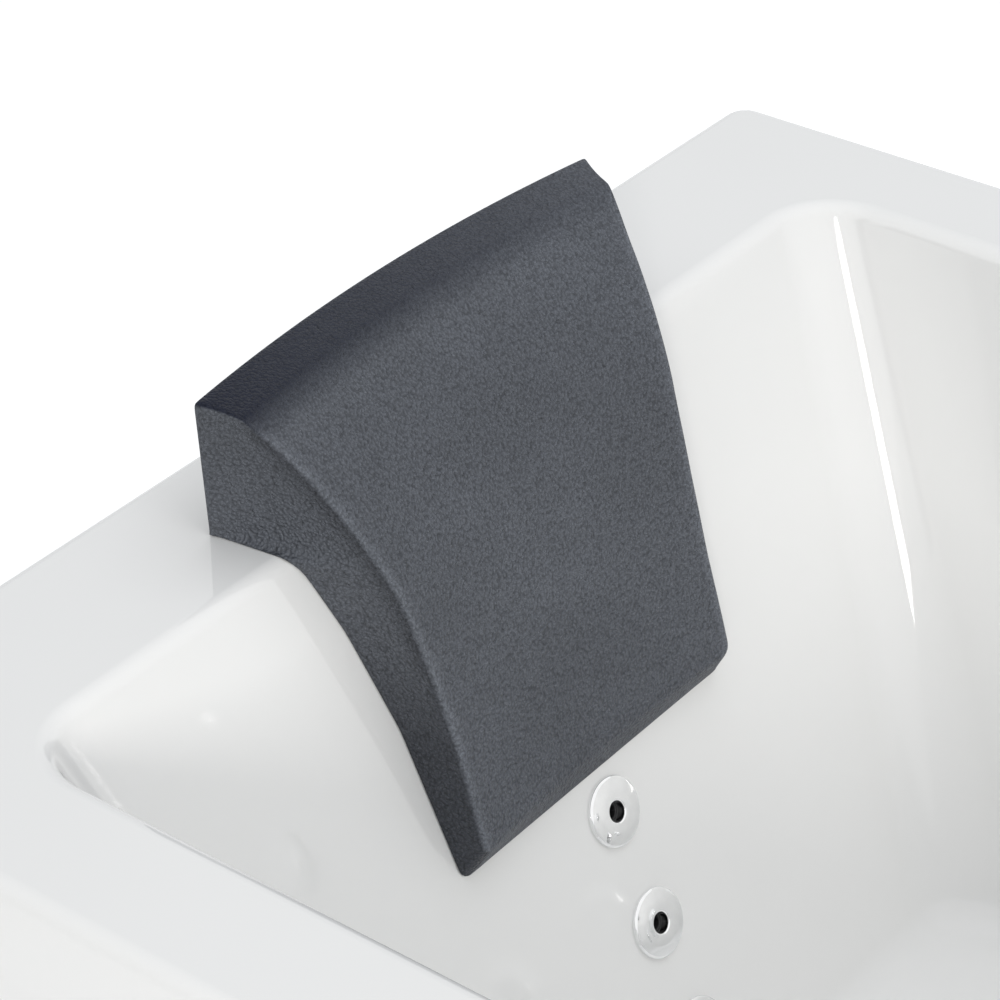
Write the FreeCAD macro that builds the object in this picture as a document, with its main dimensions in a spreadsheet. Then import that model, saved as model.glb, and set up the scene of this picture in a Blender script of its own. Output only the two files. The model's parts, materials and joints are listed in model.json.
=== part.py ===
import FreeCAD, Part
import math
import os
import re
import Sketcher

# Jetted bathtub, in millimetres, +Z up. Origin: on the floor under the middle of the tub.
# +X runs from the head end (the sloping back rest with the cushion) to the foot end.
# -Y is the front with the removable panel, +Y is the open wall side with the plumbing.

Vector = FreeCAD.Vector
doc = FreeCAD.newDocument("jetted_bathtub")

SIZES = {
    # moulded shell
    "tub_length": 1800, "tub_width": 900, "tub_height": 600,
    "head_deck": 115, "foot_deck": 115, "side_deck": 82,
    "head_slope": 25, "side_slope": 14, "foot_slope": 14,
    "basin_depth": 430, "shell_wall": 6, "lip_drop": 60,
    "outer_corner": 18, "edge_round": 10, "rim_round": 12,
    "corner_round": 30, "floor_round": 30,
    # base board, steel frame and feet
    "board_thick": 16, "board_inset": 24,
    "rail": 30, "rail_gauge": 2, "post": 25, "post_gap": 25.5, "end_inset": 58, "rail_offset": 330,
    "foot_inset": 192, "foot_pad_radius": 25, "stud_radius": 6, "stud_clear": 0.06,
    "foot_nut_width": 19, "foot_nut_thick": 9, "stud_end": 6,
    # panels
    "panel_inset": 4, "panel_gauge": 4, "panel_floor_gap": 15, "panel_top_gap": 2,
    "panel_return": 30, "panel_bend": 14, "panel_joint": 0.5, "clip_width": 24, "clip_tall": 24,
    "clip_drop": 90, "panel_play": 0.3,
    # head cushion
    "cushion_rise": 93, "cushion_reach": 197, "cushion_wrap": 1110, "cushion_round": 7,
    "cushion_draft": 0.29, "seat_gap": 0.3,
    "plate_thick": 3, "plate_half": 96, "plate_back": 72, "plate_reach": 186,
    "peg_radius": 6, "peg_fit": 0.06, "peg_length": 15, "peg_back": 86, "peg_half": 60,
    "grommet_wall": 2.2, "grommet_lip": 3,
    # small jets in the back rest
    "back_jet_depth": 229, "back_jet_pitch": 78,
    "back_sleeve": 13, "back_bore": 10.6, "back_face": 22, "back_orifice": 7.25, "back_length": 52,
    "back_dome": 4.9,
    "back_port_set": 38, "back_port_half": 17, "back_pipe": 8,
    # large jets in the long walls
    "side_jet_depth": 320, "side_jet_spread": 240,
    "side_sleeve": 24, "side_bore": 20, "side_face": 32, "nozzle": 14, "nozzle_half": 11,
    "nozzle_bore": 6, "nozzle_sink": 5, "side_length": 78,
    "side_port_set": 45, "side_port_lift": 38, "side_port_half": 34, "air_port_set": 72,
    "hole_clear": 0.3, "thread_fit": 0.05, "turn_gap": 0.3, "nut_wall": 6, "nut_thick": 8,
    # pipes
    "water_pipe": 20, "water_wall": 2.5, "air_pipe": 8, "air_wall": 1.5, "waste_pipe": 16,
    "socket_wall": 3, "socket_fit": 0.05, "elbow_leg": 34, "socket_depth": 14,
    "air_loop_set": 140, "air_elbow": 24,
    # suction fitting
    "suction_x": -85, "suction_lift": 78, "suction_cup": 34, "suction_cover": 43,
    "suction_length": 40, "suction_port_set": 28, "suction_slot": 6,
    # drain and overflow
    "drain_x": 120, "drain_y": 130, "drain_bore": 22, "drain_flange": 36, "drain_wall": 3,
    "plug_stem": 4, "plug_fit": 0.05, "trap_radius": 36, "trap_drop": 104, "trap_spigot": 20,
    "trap_spigot_length": 52, "trap_collar": 9,
    "overflow_depth": 137, "overflow_plate": 35, "overflow_knob": 30, "overflow_body": 24,
    "overflow_pipe_set": 70, "spindle": 5, "spindle_fit": 0.05,
    # deck controls
    "regulator_x": 170, "button_x": 90, "control_inset": 46, "control_bezel": 22,
    "control_sleeve": 17, "control_bore": 14.3, "knob_radius": 20, "knob_tall": 16,
    "button_radius": 14, "button_proud": 5, "signal_tube": 3,
    # pump
    "pump_set": 143, "shelf_thick": 16, "shelf_head": 68, "shelf_foot": 67, "pump_axis": 94,
    "motor_radius": 62, "motor_rib": 5, "motor_low": -300, "motor_high": -122, "rib_count": 20,
    "shaft": 8, "shaft_fit": 0.05, "volute_radius": 66, "volute_high": -70, "volute_wall": 6,
    "chamber_radius": 50, "impeller_radius": 42, "impeller_thick": 14, "boss_radius": 25,
    "boss_rise": 74, "union_radius": 34, "union_long": 25, "fan_cover_long": 45, "fan_radius": 50,
}

# places that follow from the sizes: the feet and the air pipe keep their distance from the
# ends, the pump from the head end, the trap from the floor and the suction from the pump
PLACES = {
    "foot_spread": "tub_length/2 - end_inset - foot_inset",
    "air_loop_x": "tub_length/2 - air_loop_set",
    "pump_x": "pump_set - tub_length/2",
    "trap_axis_z": "tub_height - basin_depth - trap_drop",
    "suction_depth": "basin_depth + shell_wall + board_thick + 2*rail - pump_axis - suction_lift",
}

sheet = doc.addObject("Spreadsheet::Sheet", "sizes")
for row, (alias, number) in enumerate([*SIZES.items(), *PLACES.items()], 1):
    sheet.set(f"A{row}", alias)
    sheet.set(f"B{row}", f"={number}")
    sheet.setAlias(f"B{row}", alias)
doc.recompute()


# ---------------------------------------------------------------- helpers

def tied(text):
    """An expression over the sheet's names, as the document wants it."""
    def name(found):
        return f"sizes.{found[0]}" if found[0] in SIZES or found[0] in PLACES else found[0]

    return re.sub(r"[a-z_]+", name, str(text))


def val(text):
    """The present value of an expression over the sheet's names."""
    result = sheet.evalExpression(tied(text))
    return float(getattr(result, "Value", result))


def bind(item, **sizes):
    """Tie properties of an object to expressions."""
    for name, text in sizes.items():
        item.setExpression(name, tied(text))
    return item


def place(item, x="0", y="0", z="0", turn=None):
    """Put an object at a tied position, turned by a fixed or worked-out rotation."""
    item.Placement = FreeCAD.Placement(Vector(val(x), val(y), val(z)), turn or FreeCAD.Rotation())
    for letter, text in zip("xyz", (x, y, z)):
        item.setExpression(f"Placement.Base.{letter}", tied(text))
    return item


counter = {"n": 0}


def fresh(kind, hint):
    """A new object of the document with an unused name."""
    counter["n"] += 1
    return doc.addObject(kind, f"{hint}_{counter['n']}")


def spin(axis, degrees):
    return FreeCAD.Rotation(Vector(*axis), degrees)


ALONG = {"x": spin((0, 1, 0), 90), "y": spin((1, 0, 0), -90), "z": FreeCAD.Rotation()}


def rod(radius, start, long, along="z"):
    """A cylinder from start, running in the direction of a main axis."""
    item = bind(fresh("Part::Cylinder", "rod"), Radius=radius, Height=long)
    return place(item, *start, turn=ALONG[along])


def block(low, size):
    """A box from its low corner."""
    item = bind(fresh("Part::Box", "block"), Length=size[0], Width=size[1], Height=size[2])
    return place(item, *low)


def hexagon(across, start, long):
    """An upright hexagonal prism, across measured over its flats."""
    item = fresh("Part::Prism", "hexagon")
    item.Polygon = 6
    bind(item, Circumradius=f"({across})/2/cos(30)", Height=long)
    return place(item, *start)


def fuse(*items):
    item = fresh("Part::MultiFuse", "joined")
    item.Shapes = list(items)
    return item


def common(*items):
    item = fresh("Part::MultiCommon", "common")
    item.Shapes = list(items)
    return item


def cut(base, *tools):
    """The base without the tools."""
    item = fresh("Part::Cut", "cut")
    item.Base = base
    item.Tool = tools[0] if len(tools) == 1 else fuse(*tools)
    return item


NODES = []


def node(name, *solids):
    """Register a sub-part under the name of its file; several solids share one node."""
    item = solids[0]
    if len(solids) > 1:
        item = fresh("Part::Compound", "set")
        item.Links = list(solids)
    item.Label = name
    NODES.append(item)
    return item


def base_plane(body, role):
    return next(f for f in body.Origin.OriginFeatures if f.Role == role)


def outline(body, name, points, role="XZ_Plane", rise="0"):
    """A closed sketch through tied points: (x, y) ends a line, (x, y, r) ends an arc of
    radius r, which turns left for a plain r and right where r starts with a minus."""
    sketch = body.newObject("Sketcher::SketchObject", name)
    sketch.AttachmentSupport = [(base_plane(body, role), "")]
    sketch.MapMode = "FlatFace"
    sketch.setExpression("AttachmentOffset.Base.z", tied(rise))
    spots = [Vector(val(p[0]), val(p[1]), 0) for p in points]
    ends = []
    for i, point in enumerate(points):
        start, stop = spots[i - 1], spots[i]
        if len(point) == 2:
            ends.append((sketch.addGeometry(Part.LineSegment(start, stop)), 1, 2))
            continue
        left = not point[2].startswith("-")
        radius = val(point[2].lstrip("-"))
        if not left:
            start, stop = stop, start
        half = (stop - start) * 0.5
        away = math.sqrt(max(radius ** 2 - half.Length ** 2, 0))
        centre = start + half + Vector(-half.y, half.x, 0).normalize() * away
        angles = [math.atan2(p.y - centre.y, p.x - centre.x) for p in (start, stop)]
        arc = Part.ArcOfCircle(Part.Circle(centre, Vector(0, 0, 1), radius), *angles)
        ends.append((sketch.addGeometry(arc), *((1, 2) if left else (2, 1))))
    for i, point in enumerate(points):
        piece, first, last = ends[i]
        after = ends[(i + 1) % len(points)]
        sketch.addConstraint(Sketcher.Constraint("Coincident", piece, last, after[0], after[1]))
        for kind, text, value, axis in (("DistanceX", point[0], spots[i].x, -2),
                                        ("DistanceY", point[1], spots[i].y, -1)):
            if text == "0":
                sketch.addConstraint(Sketcher.Constraint("PointOnObject", piece, last, axis))
                continue
            number = sketch.addConstraint(Sketcher.Constraint(kind, -1, 1, piece, last, value))
            sketch.setExpression(f"Constraints[{number}]", tied(text))
        if len(point) == 3:
            text = point[2].lstrip("-")
            number = sketch.addConstraint(Sketcher.Constraint("Radius", piece, val(text)))
            sketch.setExpression(f"Constraints[{number}]", tied(text))
    return sketch


def turned(name, points):
    """A body turned about its own Z axis from an outline of (radius, height) points."""
    body = doc.addObject("PartDesign::Body", name)
    sketch = outline(body, f"{name}_profile", points)
    feature = body.newObject("PartDesign::Revolution", f"{name}_turn")
    feature.Profile = sketch
    feature.ReferenceAxis = (sketch, ["V_Axis"])
    feature.Angle = 360
    return body


def ringed(feature_name, body, points, count, long, rise="0", cutting=True, role="XY_Plane"):
    """Pads or pockets an outline and repeats it round the body's Z axis."""
    sketch = outline(body, f"{feature_name}_outline", points, role, rise)
    kind = "PartDesign::Pocket" if cutting else "PartDesign::Pad"
    feature = body.newObject(kind, feature_name)
    feature.Profile = sketch
    feature.setExpression("Length", tied(long))
    feature.Reversed = cutting
    pattern = body.newObject("PartDesign::PolarPattern", f"{feature_name}_ring")
    pattern.Originals = [feature]
    pattern.Axis = (sketch, ["N_Axis"])
    pattern.Angle = 360
    pattern.Occurrences = int(val(count))
    body.Tip = pattern
    return pattern


# ---------------------------------------------------------------- where things lie

HEAD_X = "(-tub_length/2)"
FOOT_X = "(tub_length/2)"
DECK_UNDER = "(tub_height - shell_wall)"
SHELL_UNDER = "(tub_height - basin_depth - shell_wall)"
BOARD_UNDER = f"({SHELL_UNDER} - board_thick)"
CROSS_UNDER = f"({BOARD_UNDER} - rail)"
RAIL_UNDER = f"({CROSS_UNDER} - rail)"
LIP_UNDER = "(tub_height - lip_drop)"
POST_FACE = "(tub_width/2 - post_gap)"
CROSS_X = "(tub_length/2 - end_inset)"
PUMP_Z = f"({RAIL_UNDER} + pump_axis)"


def head_wall(depth):
    """X of the head wall's wet face at a depth below the deck."""
    return f"(-tub_length/2 + head_deck + ({depth})*tan(head_slope))"


def foot_wall(depth):
    return f"(tub_length/2 - foot_deck - ({depth})*tan(foot_slope))"


def side_wall(depth):
    """Distance of the long walls' wet faces from the middle at a depth below the deck."""
    return f"(tub_width/2 - side_deck - ({depth})*tan(side_slope))"


HEAD_TURN = spin((0, 1, 0), 90 - val("head_slope"))
SIDE_TILT = 90 - val("side_slope")
BACK_WALL_TURN = spin((1, 0, 0), SIDE_TILT)
FRONT_WALL_TURN = spin((0, 0, 1), 180).multiply(BACK_WALL_TURN)
WALLS = (("front", "-", FRONT_WALL_TURN), ("back", "", BACK_WALL_TURN))


def behind_side_wall(depth, set_back, lift="0"):
    """Y and Z of a point behind a long wall: set_back square to it, lift up along it."""
    out = f"({side_wall(depth)} + ({set_back})*cos(side_slope) + ({lift})*sin(side_slope))"
    up = f"(tub_height - ({depth}) - ({set_back})*sin(side_slope) + ({lift})*cos(side_slope))"
    return out, up


def behind_head_wall(depth, set_back):
    """X and Z of a point behind the head wall."""
    return (f"({head_wall(depth)} - ({set_back})*cos(head_slope))",
            f"(tub_height - ({depth}) - ({set_back})*sin(head_slope))")


BACK_JET_DEPTHS = [f"(back_jet_depth + {i}*back_jet_pitch*cos(head_slope))" for i in range(3)]
SIDE_JET_XS = ["(-side_jet_spread)", "side_jet_spread"]
WATER_Y, WATER_Z = behind_side_wall("side_jet_depth", "side_port_set", "side_port_lift")
AIR_Y, AIR_Z = behind_side_wall("side_jet_depth", "air_port_set")
SUCTION_Y, SUCTION_Z = behind_side_wall("suction_depth", "suction_port_set")
OVERFLOW_Y, OVERFLOW_Z = behind_side_wall("overflow_depth", "overflow_pipe_set")
CONTROL_Y = "(tub_width/2 - control_inset)"


# ---------------------------------------------------------------- the moulded shell

def frustum(name, grow, top_depth, low_depth):
    """The basin's tapering block, grown outward by a wall, from one depth to another."""
    item = doc.addObject("Part::Wedge", name)

    def reach(depth, sign):
        return {"X%smin": f"{head_wall(depth)} - ({grow})/cos(head_slope)",
                "X%smax": f"{foot_wall(depth)} + ({grow})/cos(foot_slope)",
                "Z%smin": f"-({side_wall(depth)} + ({grow})/cos(side_slope))",
                "Z%smax": f"{side_wall(depth)} + ({grow})/cos(side_slope)"}

    ties = {key % "": text for key, text in reach(top_depth, 1).items()}
    ties.update({key % "2": text for key, text in reach(low_depth, 1).items()})
    ties.update({"Ymin": top_depth, "Ymax": low_depth})
    for key, text in ties.items():
        setattr(item, key, val(text))
    bind(item, **ties)
    return place(item, "0", "0", "tub_height", turn=spin((1, 0, 0), -90))


def rounded(item, picks):
    """Fillets edges: picks gives each edge's radius, or None."""
    doc.recompute()
    feature = fresh("Part::Fillet", "rounded")
    feature.Base = item
    chosen = []
    for number, edge in enumerate(item.Shape.Edges, 1):
        radius = picks(edge, edge.BoundBox)
        if radius:
            chosen.append((number, radius, radius))
    feature.Edges = chosen
    doc.recompute()
    return feature


TOUCH = 1e-3


def basin(name, grow, top_depth, low_depth):
    """The basin's block with its upright corners and its floor edge rounded."""
    low = val("tub_height") - val(low_depth)

    def picks(edge, box):
        if box.ZLength > 1:
            return val(f"corner_round + {grow}")
        return val(f"floor_round + {grow}") if box.ZMax < low + TOUCH else None

    return rounded(frustum(name, grow, top_depth, low_depth), picks)


def tray(name, inset, top, low, corner, edge):
    """The deck's slab with rounded corners and, where edge is set, a rounded top edge."""
    slab = block((f"{HEAD_X} + ({inset})", f"-tub_width/2 + ({inset})", low),
                 (f"tub_length - 2*({inset})", f"tub_width - 2*({inset})", f"{top} - {low}"))
    slab = rounded(slab, lambda e, box: val(corner) if box.ZLength > 1 else None)
    if edge:
        height = val(top)
        slab = rounded(slab, lambda e, box: val(edge) if box.ZMin > height - TOUCH else None)
    return slab


def hole_tools():
    """Drills for every fitting that goes through the shell."""
    tools = []
    through = "4*shell_wall"
    for depth in BACK_JET_DEPTHS:
        x, z = behind_head_wall(depth, through)
        tools.append(place(rod("back_sleeve + hole_clear", "000", "2*" + through),
                           x, "0", z, turn=HEAD_TURN))
    spots = [(x, "side_jet_depth", "side_sleeve + hole_clear", wall)
             for x in SIDE_JET_XS for wall in WALLS]
    spots.append(("suction_x", "suction_depth", "suction_cup + hole_clear", WALLS[1]))
    spots.append(("drain_x", "overflow_depth", "overflow_body + hole_clear", WALLS[1]))
    for x, depth, radius, (side, sign, turn) in spots:
        y, z = behind_side_wall(depth, through)
        tools.append(place(rod(radius, "000", "2*" + through), x, sign + y, z, turn=turn))
    for x in ("regulator_x", "button_x"):
        tools.append(rod("control_sleeve + hole_clear", (x, CONTROL_Y, f"{DECK_UNDER} - 1"),
                         "shell_wall + 2"))
    for sign in "+-":
        tools.append(rod("peg_radius + peg_fit + grommet_wall",
                         (f"{HEAD_X} + peg_back", f"{sign}peg_half", f"{DECK_UNDER} - 1"),
                         "shell_wall + 2"))
    tools.append(rod("drain_bore + drain_wall + hole_clear",
                     ("drain_x", "drain_y", f"{SHELL_UNDER} - 1"), "shell_wall + 2"))
    return tools


def bath_shell():
    deck = cut(tray("deck", "0", "tub_height", LIP_UNDER, "outer_corner", "edge_round"),
               tray("under_deck", "shell_wall", DECK_UNDER, LIP_UNDER,
                    "outer_corner - shell_wall", None))
    blank = fuse(deck, basin("basin_outside", "shell_wall", "shell_wall/2",
                             "basin_depth + shell_wall"))
    hollow = cut(blank, basin("basin_inside", "0", "0", "basin_depth"))
    top, x_low, x_high = val("tub_height"), val(head_wall("0")), val(foot_wall("0"))
    y_high = val(side_wall("0"))

    def rim(edge, box):
        level = abs(box.ZMin - top) < TOUCH and abs(box.ZMax - top) < TOUCH
        inner = box.XMin > x_low - 1 and box.XMax < x_high + 1 and box.YMax < y_high + 1
        return val("rim_round") if level and inner and box.YMin > -y_high - 1 else None

    node("bath_shell", cut(rounded(hollow, rim), *hole_tools()))


# ---------------------------------------------------------------- board, frame and feet

def base_board():
    low_x = f"({head_wall('basin_depth')} + board_inset)"
    high_x = f"({foot_wall('basin_depth')} - board_inset)"
    half_y = f"({side_wall('basin_depth')} - board_inset)"
    board = block((low_x, f"-{half_y}", BOARD_UNDER), (f"{high_x} - {low_x}", f"2*{half_y}",
                                                       "board_thick"))
    node("base_board", cut(board, rod("drain_flange + 4", ("drain_x", "drain_y",
                                                          f"{BOARD_UNDER} - 1"),
                                      "board_thick + 2")))


def square_tube(low, size, along, open_side=False):
    """A hollow steel section, open at both ends of its long axis, or a channel open below."""
    bore_low, bore_size = [], []
    for axis, start, long in zip("xyz", low, size):
        if axis == along:
            bore_low.append(f"{start} - 1")
            bore_size.append(f"{long} + 2")
        elif axis == "z" and open_side:
            bore_low.append(f"{start} - 1")
            bore_size.append(f"{long} - rail_gauge + 1")
        else:
            bore_low.append(f"{start} + rail_gauge")
            bore_size.append(f"{long} - 2*rail_gauge")
    return block(low, size), block(bore_low, bore_size)


def cross_positions():
    return [f"({CROSS_X}*{(2 * i - 3)}/3)" for i in range(4)]


FOOT_XS = ["(-foot_spread)", "0", "foot_spread"]


def frame():
    rails = []
    for sign in "-+":
        low_x = f"(-{CROSS_X} - rail/2)"
        tube, bore = square_tube((low_x, f"{sign}rail_offset - rail/2", RAIL_UNDER),
                                 (f"-2*{low_x}", "rail", "rail"), "x", open_side=True)
        drills = [rod("stud_radius + stud_clear",
                      (x, f"{sign}rail_offset", f"{CROSS_UNDER} - rail/2"), "rail")
                  for x in FOOT_XS]
        rails.append(cut(tube, bore, *drills))
    node("frame_long_rails", *rails)
    crosses, posts = [], []
    for x in cross_positions():
        tube, bore = square_tube((f"{x} - rail/2", f"-{POST_FACE}", CROSS_UNDER),
                                 ("rail", f"2*{POST_FACE}", "rail"), "y")
        crosses.append(cut(tube, bore))
        for y in (f"-{POST_FACE}", f"{POST_FACE} - post"):
            tube, bore = square_tube((f"{x} - post/2", y, BOARD_UNDER),
                                     ("post", "post", f"{DECK_UNDER} - {BOARD_UNDER}"), "z")
            posts.append(cut(tube, bore))
    node("frame_cross_rails", *crosses)
    node("frame_posts", *posts)


def levelling_feet():
    top = f"({CROSS_UNDER} + foot_nut_thick + stud_end)"
    nuts = []
    number = 0
    for x in FOOT_XS:
        for sign in "-+":
            number += 1
            name = f"levelling_foot_{number}"
            body = turned(name, [("0", "0"), ("foot_pad_radius", "0"), ("foot_pad_radius", "9"),
                                 ("stud_radius", "9"), ("stud_radius", top), ("0", top)])
            place(body, x, f"{sign}rail_offset", "0")
            node(name, body)
            spot = (x, f"{sign}rail_offset", CROSS_UNDER)
            nuts.append(cut(hexagon("foot_nut_width", spot, "foot_nut_thick"),
                            rod("stud_radius + stud_clear",
                                (x, f"{sign}rail_offset", f"{CROSS_UNDER} - 1"),
                                "foot_nut_thick + 2")))
    node("foot_nuts", *nuts)


# ---------------------------------------------------------------- panels

PANEL_Y = "(tub_width/2 - panel_inset)"
PANEL_X = "(tub_length/2 - panel_inset)"
PANEL_TALL = f"({LIP_UNDER} - panel_top_gap - panel_floor_gap)"


def front_panel():
    """A sheet bent round both front corners, standing under the lip."""
    body = doc.addObject("PartDesign::Body", "front_panel")
    back = f"(-{PANEL_Y} + panel_return)"
    face = f"(-{PANEL_Y})"
    inner_x = f"({PANEL_X} - panel_gauge)"
    inner_bend = "(panel_bend - panel_gauge)"
    points = [(f"-{PANEL_X}", back), (f"-{PANEL_X}", f"{face} + panel_bend"),
              (f"-{PANEL_X} + panel_bend", face, "panel_bend"),
              (f"{PANEL_X} - panel_bend", face),
              (PANEL_X, f"{face} + panel_bend", "panel_bend"), (PANEL_X, back),
              (inner_x, back), (inner_x, f"{face} + panel_bend"),
              (f"{PANEL_X} - panel_bend", f"{face} + panel_gauge", f"-{inner_bend}"),
              (f"-{PANEL_X} + panel_bend", f"{face} + panel_gauge"),
              (f"-{inner_x}", f"{face} + panel_bend", f"-{inner_bend}"),
              (f"-{inner_x}", back)]
    sketch = outline(body, "front_panel_plan", points, "XY_Plane", "panel_floor_gap")
    pad = body.newObject("PartDesign::Pad", "front_panel_sheet")
    pad.Profile = sketch
    pad.setExpression("Length", tied(PANEL_TALL))
    node("front_panel", body)


def end_panels():
    """Fixed sheets at the head and the foot, each with a flange along its back edge."""
    low_y = f"(-{PANEL_Y} + panel_return + panel_joint)"
    for name, face, flange in (("head_panel", f"-{PANEL_X}", f"-{PANEL_X}"),
                               ("foot_panel", f"{PANEL_X} - panel_gauge",
                                f"{PANEL_X} - panel_return")):
        sheet_part = block((face, low_y, "panel_floor_gap"),
                           ("panel_gauge", f"{PANEL_Y} - {low_y}", PANEL_TALL))
        edge = block((flange, f"{PANEL_Y} - panel_gauge", "panel_floor_gap"),
                     ("panel_return", "panel_gauge", PANEL_TALL))
        node(name, fuse(sheet_part, edge))


def panel_clips():
    """Spacers between the frame and the panels, at the posts' tops and the cross rails."""
    clips = []
    tops = f"({LIP_UNDER} - clip_drop)"
    rails = f"({CROSS_UNDER} + rail/2 - clip_tall/2)"
    for x in cross_positions():
        for z in (tops, rails):
            reach = f"({PANEL_Y} - panel_gauge - panel_play - {POST_FACE})"
            clips.append(block((f"{x} - clip_width/2", f"-{POST_FACE} - {reach}", z),
                               ("clip_width", reach, "clip_tall")))
    for sign, x in ((-1, f"-{CROSS_X}"), (1, CROSS_X)):
        for y in (f"(-{POST_FACE} + post)", f"({POST_FACE} - post)"):
            for z, half in ((tops, "post/2"), (rails, "rail/2")):
                reach = f"({PANEL_X} - panel_gauge - {CROSS_X} - {half})"
                low = f"{x} - {half} - {reach}" if sign < 0 else f"{x} + {half}"
                shift = "clip_width" if y.startswith("(-") else "0"
                clips.append(block((low, f"{y} - {shift}", z), (reach, "clip_width", "clip_tall")))
    node("panel_clips", *clips)


# ---------------------------------------------------------------- head cushion

def part_feature(name, shape):
    """A plain feature for a form that no primitive gives."""
    item = doc.addObject("Part::Feature", name)
    item.Shape = shape
    return item


def cushion_points():
    """Half widths and face positions of the cushion, as (ahead of the head edge, above deck,
    half width). The face leans back over the deck and lies down along the head wall."""
    rise, reach = val("cushion_rise"), val("cushion_reach")
    deck = val("head_deck")
    return {
        "top_back": (deck - 43, rise, 175), "top_front": (deck - 17, rise - 5, 166),
        "upper": (deck + 27, 0.41 * rise, 146), "knee": (deck + 59, -0.1 * reach, 130),
        "lower": (deck + 85, -0.51 * reach, 123), "toe": (deck + 106, 17 - reach, 122),
        "toe_back": (deck + 101, -reach, 122), "under": (deck + 20, -reach - 18, 0),
        "heel": (deck - 63, -30, 0),
    }


def cushion_profile():
    """The cushion's section in the middle plane, wrapped round the bather's head: its ends
    stand forward by half width squared over twice the wrap radius."""
    wrap = val("cushion_wrap")
    spots = {}
    for name, (ahead, above, half) in cushion_points().items():
        x = val(HEAD_X) + ahead - half ** 2 / (2 * wrap)
        spots[name] = Vector(x, 0, val("tub_height") + above)
    edges = [Part.Arc(spots["top_front"], spots["upper"], spots["knee"]).toShape(),
             Part.Arc(spots["knee"], spots["lower"], spots["toe"]).toShape()]
    loop = ["toe", "toe_back", "under", "heel", "top_back", "top_front"]
    edges += [Part.LineSegment(spots[a], spots[b]).toShape() for a, b in zip(loop, loop[1:])]
    return Part.Face(Part.Wire(edges))


def cushion_wedge():
    """Between the cushion's two drawn-in side faces, which spread towards the wall."""
    draft = val("cushion_draft")
    top, waist, low = 194, 180.2, 186.3
    top_z, waist_z, low_z = val("cushion_rise") - 5, -44, 21 - val("cushion_reach")

    def side(x, sign):
        spots = [Vector(val(HEAD_X) + x, sign * (half - draft * x), val("tub_height") + z)
                 for half, z in ((low, low_z), (waist, waist_z), (top, top_z))]
        circle = Part.Arc(*spots).toShape().Curve
        middle, radius = circle.Center, circle.Radius
        stretched = []
        for z in (low_z - 60, waist_z, top_z + 30):
            rise = val("tub_height") + z - middle.z
            across = math.sqrt(radius ** 2 - rise ** 2)
            stretched.append(Vector(spots[0].x, middle.y - sign * across, middle.z + rise))
        return stretched

    wires = []
    for x in (20, 300):
        left, right = side(x, -1), side(x, 1)
        wires.append(Part.Wire([Part.Arc(*left).toShape(),
                                Part.LineSegment(left[2], right[2]).toShape(),
                                Part.Arc(*right[::-1]).toShape(),
                                Part.LineSegment(right[0], left[0]).toShape()]))
    return Part.makeLoft(wires, True, True)


def wall_strip(gap, thick, half, back, reach):
    """A strip that follows the deck and the head wall at a gap: from back, measured from the
    head edge, over the rim and down the wall to a depth of reach."""
    slope = math.radians(val("head_slope"))
    x0, deck_z = val(HEAD_X), val("tub_height")
    rim_x = x0 + val("head_deck")

    def corner(offset):
        return Vector(rim_x + offset * math.tan((math.pi / 2 - slope) / 2), -half, deck_z + offset)

    def down(offset):
        start = corner(offset)
        return start + Vector(reach * math.tan(slope), 0, -reach)

    near, far = gap, gap + thick
    spots = [Vector(x0 + back, -half, deck_z + near), corner(near), down(near), down(far),
             corner(far), Vector(x0 + back, -half, deck_z + far)]
    face = Part.Face(Part.makePolygon(spots + spots[:1]))
    return face.extrude(Vector(0, 2 * half, 0))


def head_cushion():
    wrap = val("cushion_wrap")
    face = cushion_profile()
    front_most = face.BoundBox.XMax
    axis = Vector(front_most + wrap - 130, 0, 0)
    half_turn = 12
    face.rotate(axis, Vector(0, 0, 1), -half_turn)
    block_shape = face.revolve(axis, Vector(0, 0, 1), 2 * half_turn).common(cushion_wedge())
    deck_z = val("tub_height")
    sides = []
    for edge in block_shape.Edges:
        box = edge.BoundBox
        on_side = box.YMin * box.YMax > 0
        centre = edge.valueAt((edge.FirstParameter + edge.LastParameter) / 2)
        forward = centre.x > val(HEAD_X) + val("head_deck") - 30
        if on_side and forward and box.ZLength > 20 and box.ZMin > deck_z - val("cushion_reach"):
            sides.append(edge)
    body = block_shape.makeFillet(val("cushion_round"), sides)
    gap = val("seat_gap")
    deep = val("head_deck") + 60
    slab = wall_strip(gap - deep, deep, 2 * val("plate_half") + 40, -50, 2 * val("cushion_reach"))
    plate = wall_strip(gap, val("plate_thick"), val("plate_half"), val("plate_back"),
                       val("plate_reach"))
    body = body.cut(slab).cut(plate)
    solid = max(body.Solids, key=lambda s: s.Volume)
    node("head_cushion", part_feature("head_cushion", solid))
    pegs = [rod("peg_radius", (f"{HEAD_X} + peg_back", f"{sign}peg_half",
                               "tub_height + seat_gap - peg_length"),
                "peg_length + plate_thick/2") for sign in "+-"]
    node("cushion_back_plate", fuse(part_feature("cushion_strip", plate), *pegs))
    grommets = []
    for number, sign in enumerate("+-"):
        outer = "peg_radius + peg_fit + grommet_wall"
        ring = turned(f"grommet_{number}", [
            ("peg_radius + peg_fit", "-shell_wall - grommet_lip"),
            (f"{outer} + 3", "-shell_wall - grommet_lip"), (f"{outer} + 3", "-shell_wall"),
            (outer, "-shell_wall"), (outer, "-seat_gap"),
            ("peg_radius + peg_fit", "-seat_gap")])
        grommets.append(place(ring, f"{HEAD_X} + peg_back", f"{sign}peg_half", "tub_height"))
    node("cushion_grommets", *grommets)


# ---------------------------------------------------------------- jets

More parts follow.
